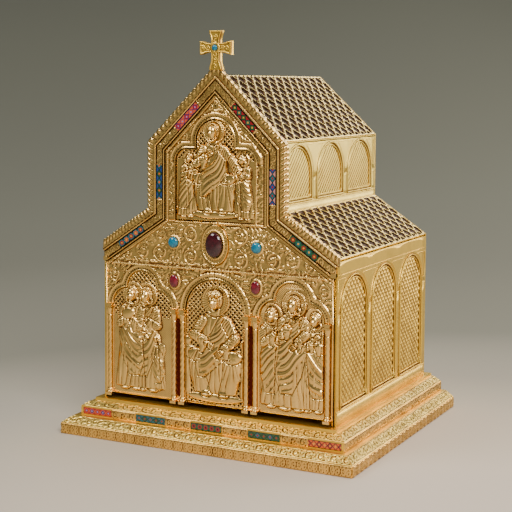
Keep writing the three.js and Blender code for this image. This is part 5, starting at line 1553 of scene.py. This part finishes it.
# %% Mount and stones
def oval_mount():
    shell = Shell()
    turn = turns(144)
    depth = mount_high[1] - mount_low[1]
    half_x, half_z = mount_high[0], mount_high[2] - stone_z
    stone_half = span("centre_stone")[1][0]
    inner = stone_half / half_x
    share = np.concatenate([[1.0, 1.0], np.linspace(0.985, inner, 26), [inner - 0.06, inner - 0.12]])
    out = (share - inner) * half_x
    high = np.full((len(share), len(turn)), 1.6)
    high[0] = 0
    rim = (share < 1) & (out > 2.6)
    edge = 2.6 + 0.9 * dome((out - 6.1) / 0.9)
    high[rim] = edge[rim][:, None]
    frond = 0.5 * np.abs(np.cos(15 * turn))[None] * dome((out[:, None] - 4.2) / 1.6)
    high += np.where(rim[:, None], frond, 0)
    cord = (share < 1) & (out <= 2.6) & (out > 0)
    twist = 0.35 * np.cos(36 * turn[None] + 1.8 * out[:, None])
    high[cord] = (2.7 + 1.4 * dome((out[:, None] - 1.3) / 1.3) + twist)[cord]
    high[-2:] = 4.0
    high = np.minimum(high, depth + 0.3)
    high[0] = 0
    rings = np.stack([share[:, None] * half_x * np.cos(turn)[None], mount_high[1] - high,
                      stone_z + share[:, None] * half_z * np.sin(turn)[None]], -1)
    shell.sweep(rings, hollow=cavity(high, 4, 0.8))
    name = "centre_stone_mount"
    return shell.object(name + "_chased", "right_door", "relief_gilt", CHASED_GOLD, (name,))


def cabochon(node, body, material, slot):
    """Rings at cos and sin of an angle, the last one tiny and closed with its own small face."""
    low, high = span(node)
    centre, half = (low + high) / 2, (high - low) / 2
    turn = turns(48)
    rise = np.concatenate([[0, 0.08], np.linspace(0.08, 1, 15)[1:]])
    climb = np.clip((rise - 0.08) / 0.92, 0, 1)
    reach = np.cos(np.arcsin(climb**0.9 * 0.9995))
    reach[:2] = 1
    rings = np.stack([centre[0] + half[0] * reach[:, None] * np.cos(turn), high[1] - (high[1] - low[1]) *
                      np.repeat(rise[:, None], 48, 1),
                      centre[2] + half[2] * reach[:, None] * np.sin(turn)], -1)
    shell = Shell()
    shell.sweep(rings)
    return shell.object(node + "_polished", body, slot, material, (node,))


def stone_material(name, colour, light, shine):
    """A polished stone: two depths of its colour clouded together under a clear coat."""
    values = {"Roughness": shine, "Coat Weight": 0.7, "Coat Roughness": 0.03}
    material, tree, shader = new_material(name, values)
    place = tree.nodes.new("ShaderNodeTexCoord").outputs["Object"]
    cloud = smooth_range(tree, noise(tree, place, 260, 4), 0.35, 0.7)
    tree.links.new(mix_colour(tree, cloud, colour, light), shader.inputs["Base Color"])
    return material


GARNET = stone_material("garnet", (0.024, 0.001, 0.005), (0.055, 0.002, 0.009), 0.1)
RED_GARNET = stone_material("red_garnet", (0.11, 0.002, 0.01), (0.22, 0.005, 0.025), 0.12)
TURQUOISE = stone_material("turquoise", (0.0, 0.13, 0.24), (0.002, 0.24, 0.36), 0.2)
slots = {row["node"]: row["material_slot"] for row in frame["record"]["subparts"]}
STONES = {
    "centre_stone": ("right_door", GARNET),
    "garnet_left": ("left_door", RED_GARNET),
    "garnet_right": ("right_door", RED_GARNET),
    "turquoise_left": ("left_door", TURQUOISE),
    "turquoise_right": ("right_door", TURQUOISE),
    "cross_stone": ("house", TURQUOISE),
}
oval_mount()
for node, (body, material) in STONES.items():
    cabochon(node, body, material, slots[node])

# %% [markdown]
# The enamels are small glass mosaics: a row of lozenges, or a row of flowers, in bright opaque colours.
# One group draws both from a point on the inlay in millimetres. Along it the pattern repeats, and the
# sum of the distances along and across gives the lozenges; a wavy circle gives the petals.


# %% Enamels
ENAMEL_COLOURS = ("Ground", "Second", "Net", "Heart", "Corner")


def enamel_group():
    """Colour of an inlay from a place in millimetres: lozenges, net, hearts, corners and petals."""
    numbers = [("Place", "Vector", None), ("Pitch", "Float", 8.0), ("Flower", "Float", 0.0)]
    colours = [(title, "Color", (0.5, 0.1, 0.1, 1)) for title in ENAMEL_COLOURS]
    group, inlet, outlet = node_group("enamel_row", numbers + colours, [("Color", "Color")])
    parts = group.nodes.new("ShaderNodeSeparateXYZ")
    group.links.new(inlet["Place"], parts.inputs[0])

    def m(operation, *values):
        return math_node(group, operation, *values)

    shifted = m("ADD", m("DIVIDE", parts.outputs[0], inlet["Pitch"]), 100.5)
    local = m("SUBTRACT", m("FRACT", shifted), 0.5)
    across = m("ABSOLUTE", parts.outputs[2])
    d = m("MULTIPLY_ADD", across, 0.25, m("MULTIPLY", m("ABSOLUTE", local), 2.0))
    parity = m("MULTIPLY", m("FRACT", m("MULTIPLY", m("FLOOR", shifted), 0.5)), 2.0)
    colour = mix_colour(group, parity, inlet["Ground"], inlet["Second"])
    colour = mix_colour(group, m("GREATER_THAN", d, 1.1), colour, inlet["Corner"])
    net = m("LESS_THAN", m("ABSOLUTE", m("SUBTRACT", d, 1.0)), 0.15)
    colour = mix_colour(group, net, colour, inlet["Net"])
    colour = mix_colour(group, m("LESS_THAN", d, 0.36), colour, inlet["Heart"])
    wide = m("MULTIPLY", local, inlet["Pitch"])
    radius = m("SQRT", m("MULTIPLY_ADD", wide, wide, m("MULTIPLY", across, across)))
    angle = m("ARCTAN2", parts.outputs[2], wide)
    edge = m("MULTIPLY_ADD", m("COSINE", m("MULTIPLY", angle, 6.0)), 0.55, 2.7)
    petals = mix_colour(group, parity, inlet["Second"], inlet["Corner"])
    flower = mix_colour(group, m("LESS_THAN", radius, edge), inlet["Ground"], petals)
    flower = mix_colour(group, m("LESS_THAN", radius, 1.2), flower, inlet["Heart"])
    flower = mix_colour(group, m("GREATER_THAN", d, 1.45), flower, inlet["Net"])
    colour = mix_colour(group, inlet["Flower"], colour, flower)
    border = m("GREATER_THAN", across, 3.75)
    group.links.new(mix_colour(group, border, colour, inlet["Net"]), outlet["Color"])
    return group


ENAMEL_ROW = enamel_group()
BLACK, TEAL, GREEN = (0.004, 0.004, 0.006), (0.008, 0.11, 0.13), (0.01, 0.08, 0.025)
RED, ORANGE, YELLOW = (0.3, 0.006, 0.01), (0.62, 0.09, 0.01), (0.65, 0.32, 0.025)
PURPLE, PINK, BLUE = (0.06, 0.012, 0.11), (0.5, 0.22, 0.2), (0.01, 0.05, 0.2)
LAVENDER = (0.32, 0.2, 0.42)
ENAMELS = {
    "gable_enamel_left": (8.2, 0, RED, ORANGE, PURPLE, LAVENDER, ORANGE),
    "gable_enamel_right": (8.2, 0, GREEN, (0.02, 0.1, 0.06), BLACK, YELLOW, RED),
    "upright_enamel_left": (10.2, 0, TEAL, GREEN, BLACK, ORANGE, BLUE),
    "upright_enamel_right": (10.2, 0, BLUE, TEAL, BLACK, RED, PINK),
    "aisle_enamel_left": (8.2, 1, TEAL, RED, BLACK, YELLOW, ORANGE),
    "aisle_enamel_right": (8.2, 1, GREEN, RED, BLACK, YELLOW, TEAL),
    "plinth_enamel_1": (8.2, 0, RED, PURPLE, ORANGE, LAVENDER, RED),
    "plinth_enamel_2": (8.2, 0, TEAL, GREEN, BLACK, RED, TEAL),
    "plinth_enamel_3": (8.2, 1, GREEN, RED, BLACK, BLACK, RED),
    "plinth_enamel_4": (8.2, 0, GREEN, TEAL, BLACK, RED, GREEN),
    "plinth_enamel_5": (6.8, 0, ORANGE, RED, BLACK, YELLOW, ORANGE),
}


def enamel(node, pitch, flower, ground, second, net, heart, corner):
    """Fired glass: the row group through a mapping that centres and turns the place to the inlay."""
    low, high = span(node)
    centre = (low + high) / 2
    size = high - low
    angle = 0.0
    if not node.startswith("plinth"):
        slope = {"aisle": math.atan(aisle_slope), "gable": math.atan(nave_slope), "upright": math.pi / 2}
        angle = slope[node.split("_")[0]] * (1 if centre[0] > 0 else -1)
    values = {"Roughness": 0.18, "Coat Weight": 0.5, "Coat Roughness": 0.05}
    material, tree, shader = new_material(node + "_glass", values)
    mapping = tree.nodes.new("ShaderNodeMapping")
    mapping.vector_type = "TEXTURE"
    mapping.inputs["Location"].default_value = tuple(centre * MM)
    mapping.inputs["Rotation"].default_value = (0, angle, 0)
    mapping.inputs["Scale"].default_value = (MM, MM, MM)
    tree.links.new(tree.nodes.new("ShaderNodeTexCoord").outputs["Object"], mapping.inputs["Vector"])
    row = tree.nodes.new("ShaderNodeGroup")
    row.node_tree = ENAMEL_ROW
    row.inputs["Pitch"].default_value = pitch
    row.inputs["Flower"].default_value = flower
    for title, colour in zip(ENAMEL_COLOURS, (ground, second, net, heart, corner)):
        row.inputs[title].default_value = (*colour, 1)
    tree.links.new(mapping.outputs[0], row.inputs["Place"])
    tree.links.new(row.outputs["Color"], shader.inputs["Base Color"])
    frame["nodes"][node].data.materials.clear()
    frame["nodes"][node].data.materials.append(material)


for node, look in ENAMELS.items():
    enamel(node, *look)
print("enamels:", len(ENAMELS))

# %% [markdown]
# The studio is a wide bowl: a pale floor that curves up into a darker wall all the way round, open at the
# top. The paper's colour carries painted light and shade: palest under the object, darker outwards and up
# the wall, and lighter towards +x and -y. Seen from any side the object stands before nearly the same soft
# gradient, and the gold has a pale floor, a dark wall and bright lamps to mirror, which is what makes it
# read as gold.


# %% Studio
def studio():
    """A surface of revolution: flat to floor_r, then a quarter of an ellipse up to wall_r, then upright."""
    floor_r, wall_r, rise, top = 1500.0, 3300.0, 1500.0, 3600.0
    t = np.linspace(0, math.pi / 2, 24)
    radius = np.concatenate([[20, floor_r], floor_r + (wall_r - floor_r) * np.sin(t[1:]), [wall_r]])
    height = np.concatenate([[0, 0], rise * (1 - np.cos(t[1:])), [top]])
    turn = turns(96)
    x = radius[:, None] * np.cos(turn)
    y = radius[:, None] * np.sin(turn)
    z = np.repeat(height[:, None], len(turn), 1)
    points = np.stack([x, y, z], -1).reshape(-1, 3) * MM
    index = np.arange(len(points)).reshape(x.shape)
    quads = np.stack([index[:-1], np.roll(index[:-1], -1, 1), np.roll(index[1:], -1, 1), index[1:]], -1)
    mesh = bpy.data.meshes.new("studio")
    mesh.from_pydata(points.tolist(), [], quads.reshape(-1, 4)[:, ::-1].tolist() + [index[0].tolist()])
    mesh.polygons.foreach_set("use_smooth", np.ones(len(mesh.polygons), bool))
    made = bpy.data.objects.new("studio", mesh)
    bpy.context.scene.collection.objects.link(made)
    values = {"Roughness": 0.9, "Specular IOR Level": 0.1}
    material, tree, shader = new_material("studio_paper", values)
    place = tree.nodes.new("ShaderNodeTexCoord").outputs["Object"]
    parts = tree.nodes.new("ShaderNodeSeparateXYZ")
    tree.links.new(place, parts.inputs[0])
    east, north, up = (parts.outputs[axis] for axis in range(3))
    # Painted light and shade: the paper's colour is palest under the object and darkens outwards, up the wall
    # and towards -x and +y.
    flat = math_node(tree, "MULTIPLY_ADD", north, north, math_node(tree, "MULTIPLY", east, east))
    way = math_node(tree, "MULTIPLY_ADD", up, 2.2, math_node(tree, "SQRT", flat))
    way = math_node(tree, "MULTIPLY_ADD", east, -0.8, way)
    way = math_node(tree, "MULTIPLY_ADD", north, 0.6, way)
    ramp = tree.nodes.new("ShaderNodeValToRGB")
    ramp.color_ramp.elements[0].position = 0.0
    ramp.color_ramp.elements[0].color = (0.56, 0.48, 0.4, 1)
    ramp.color_ramp.elements[1].position = 1.0
    ramp.color_ramp.elements[1].color = (0.09, 0.095, 0.08, 1)
    stops = ((0.025, (0.5, 0.44, 0.36)), (0.055, (0.36, 0.33, 0.275)), (0.12, (0.2, 0.195, 0.16)),
             (0.45, (0.175, 0.178, 0.148)), (0.79, (0.13, 0.135, 0.112)))
    for position, colour in stops:
        element = ramp.color_ramp.elements.new(position)
        element.color = (*colour, 1)
    tree.links.new(math_node(tree, "DIVIDE", way, 9.0, clamp=True), ramp.inputs[0])
    tree.links.new(ramp.outputs[0], shader.inputs["Base Color"])
    mesh.materials.append(material)
    print("studio of", len(mesh.polygons), "faces")


def lamp(name, place, target, size, power, colour):
    """A rectangular lamp that faces its target."""
    data = bpy.data.lights.new(name, "AREA")
    data.shape = "RECTANGLE"
    data.size, data.size_y = size
    data.energy = power
    data.color = colour
    made = bpy.data.objects.new(name, data)
    bpy.context.scene.collection.objects.link(made)
    back = np.array(place, float) - np.array(target, float)
    back /= np.linalg.norm(back)
    right = np.cross([0, 0, 1], back)
    right /= np.linalg.norm(right)
    made.matrix_world = placed(np.stack([right, np.cross(back, right), back], 1), place)


studio()
lamp("key_lamp", (2.0, -1.9, 2.2), (0, 0, 0.25), (1.6, 1.2), 112, (1.0, 0.96, 0.9))
lamp("left_lamp", (-1.5, -1.7, 2.5), (0, 0, 0.2), (1.5, 1.1), 48, (1.0, 0.97, 0.92))
lamp("top_lamp", (0.3, 0.6, 2.9), (0, 0, 0.3), (2.0, 1.4), 45, (1.0, 0.98, 0.95))
lamp("back_lamp", (0.5, 2.6, 1.5), (0, 0, 0.3), (2.6, 0.5), 20, (1.0, 0.92, 0.78))
lamp("right_lamp", (1.7, 1.9, 0.6), (0, 0, 0.22), (1.6, 0.8), 30, (1.0, 0.94, 0.82))
world = bpy.data.worlds.new("world")
bpy.context.scene.world = world
world.use_nodes = True
world.node_tree.nodes["Background"].inputs["Color"].default_value = (1.0, 0.98, 0.94, 1)
world.node_tree.nodes["Background"].inputs["Strength"].default_value = 0.35
print("lamps:", 5)

# %% Finish
FINISHES = {"satin_gilt": SATIN_GOLD, "roof_gilt": TILE_GOLD, "relief_gilt": CHASED_GOLD}
for node, made in frame["nodes"].items():
    finish = FINISHES.get(slots[node])
    if finish:
        made.data.materials.clear()
        made.data.materials.append(finish)
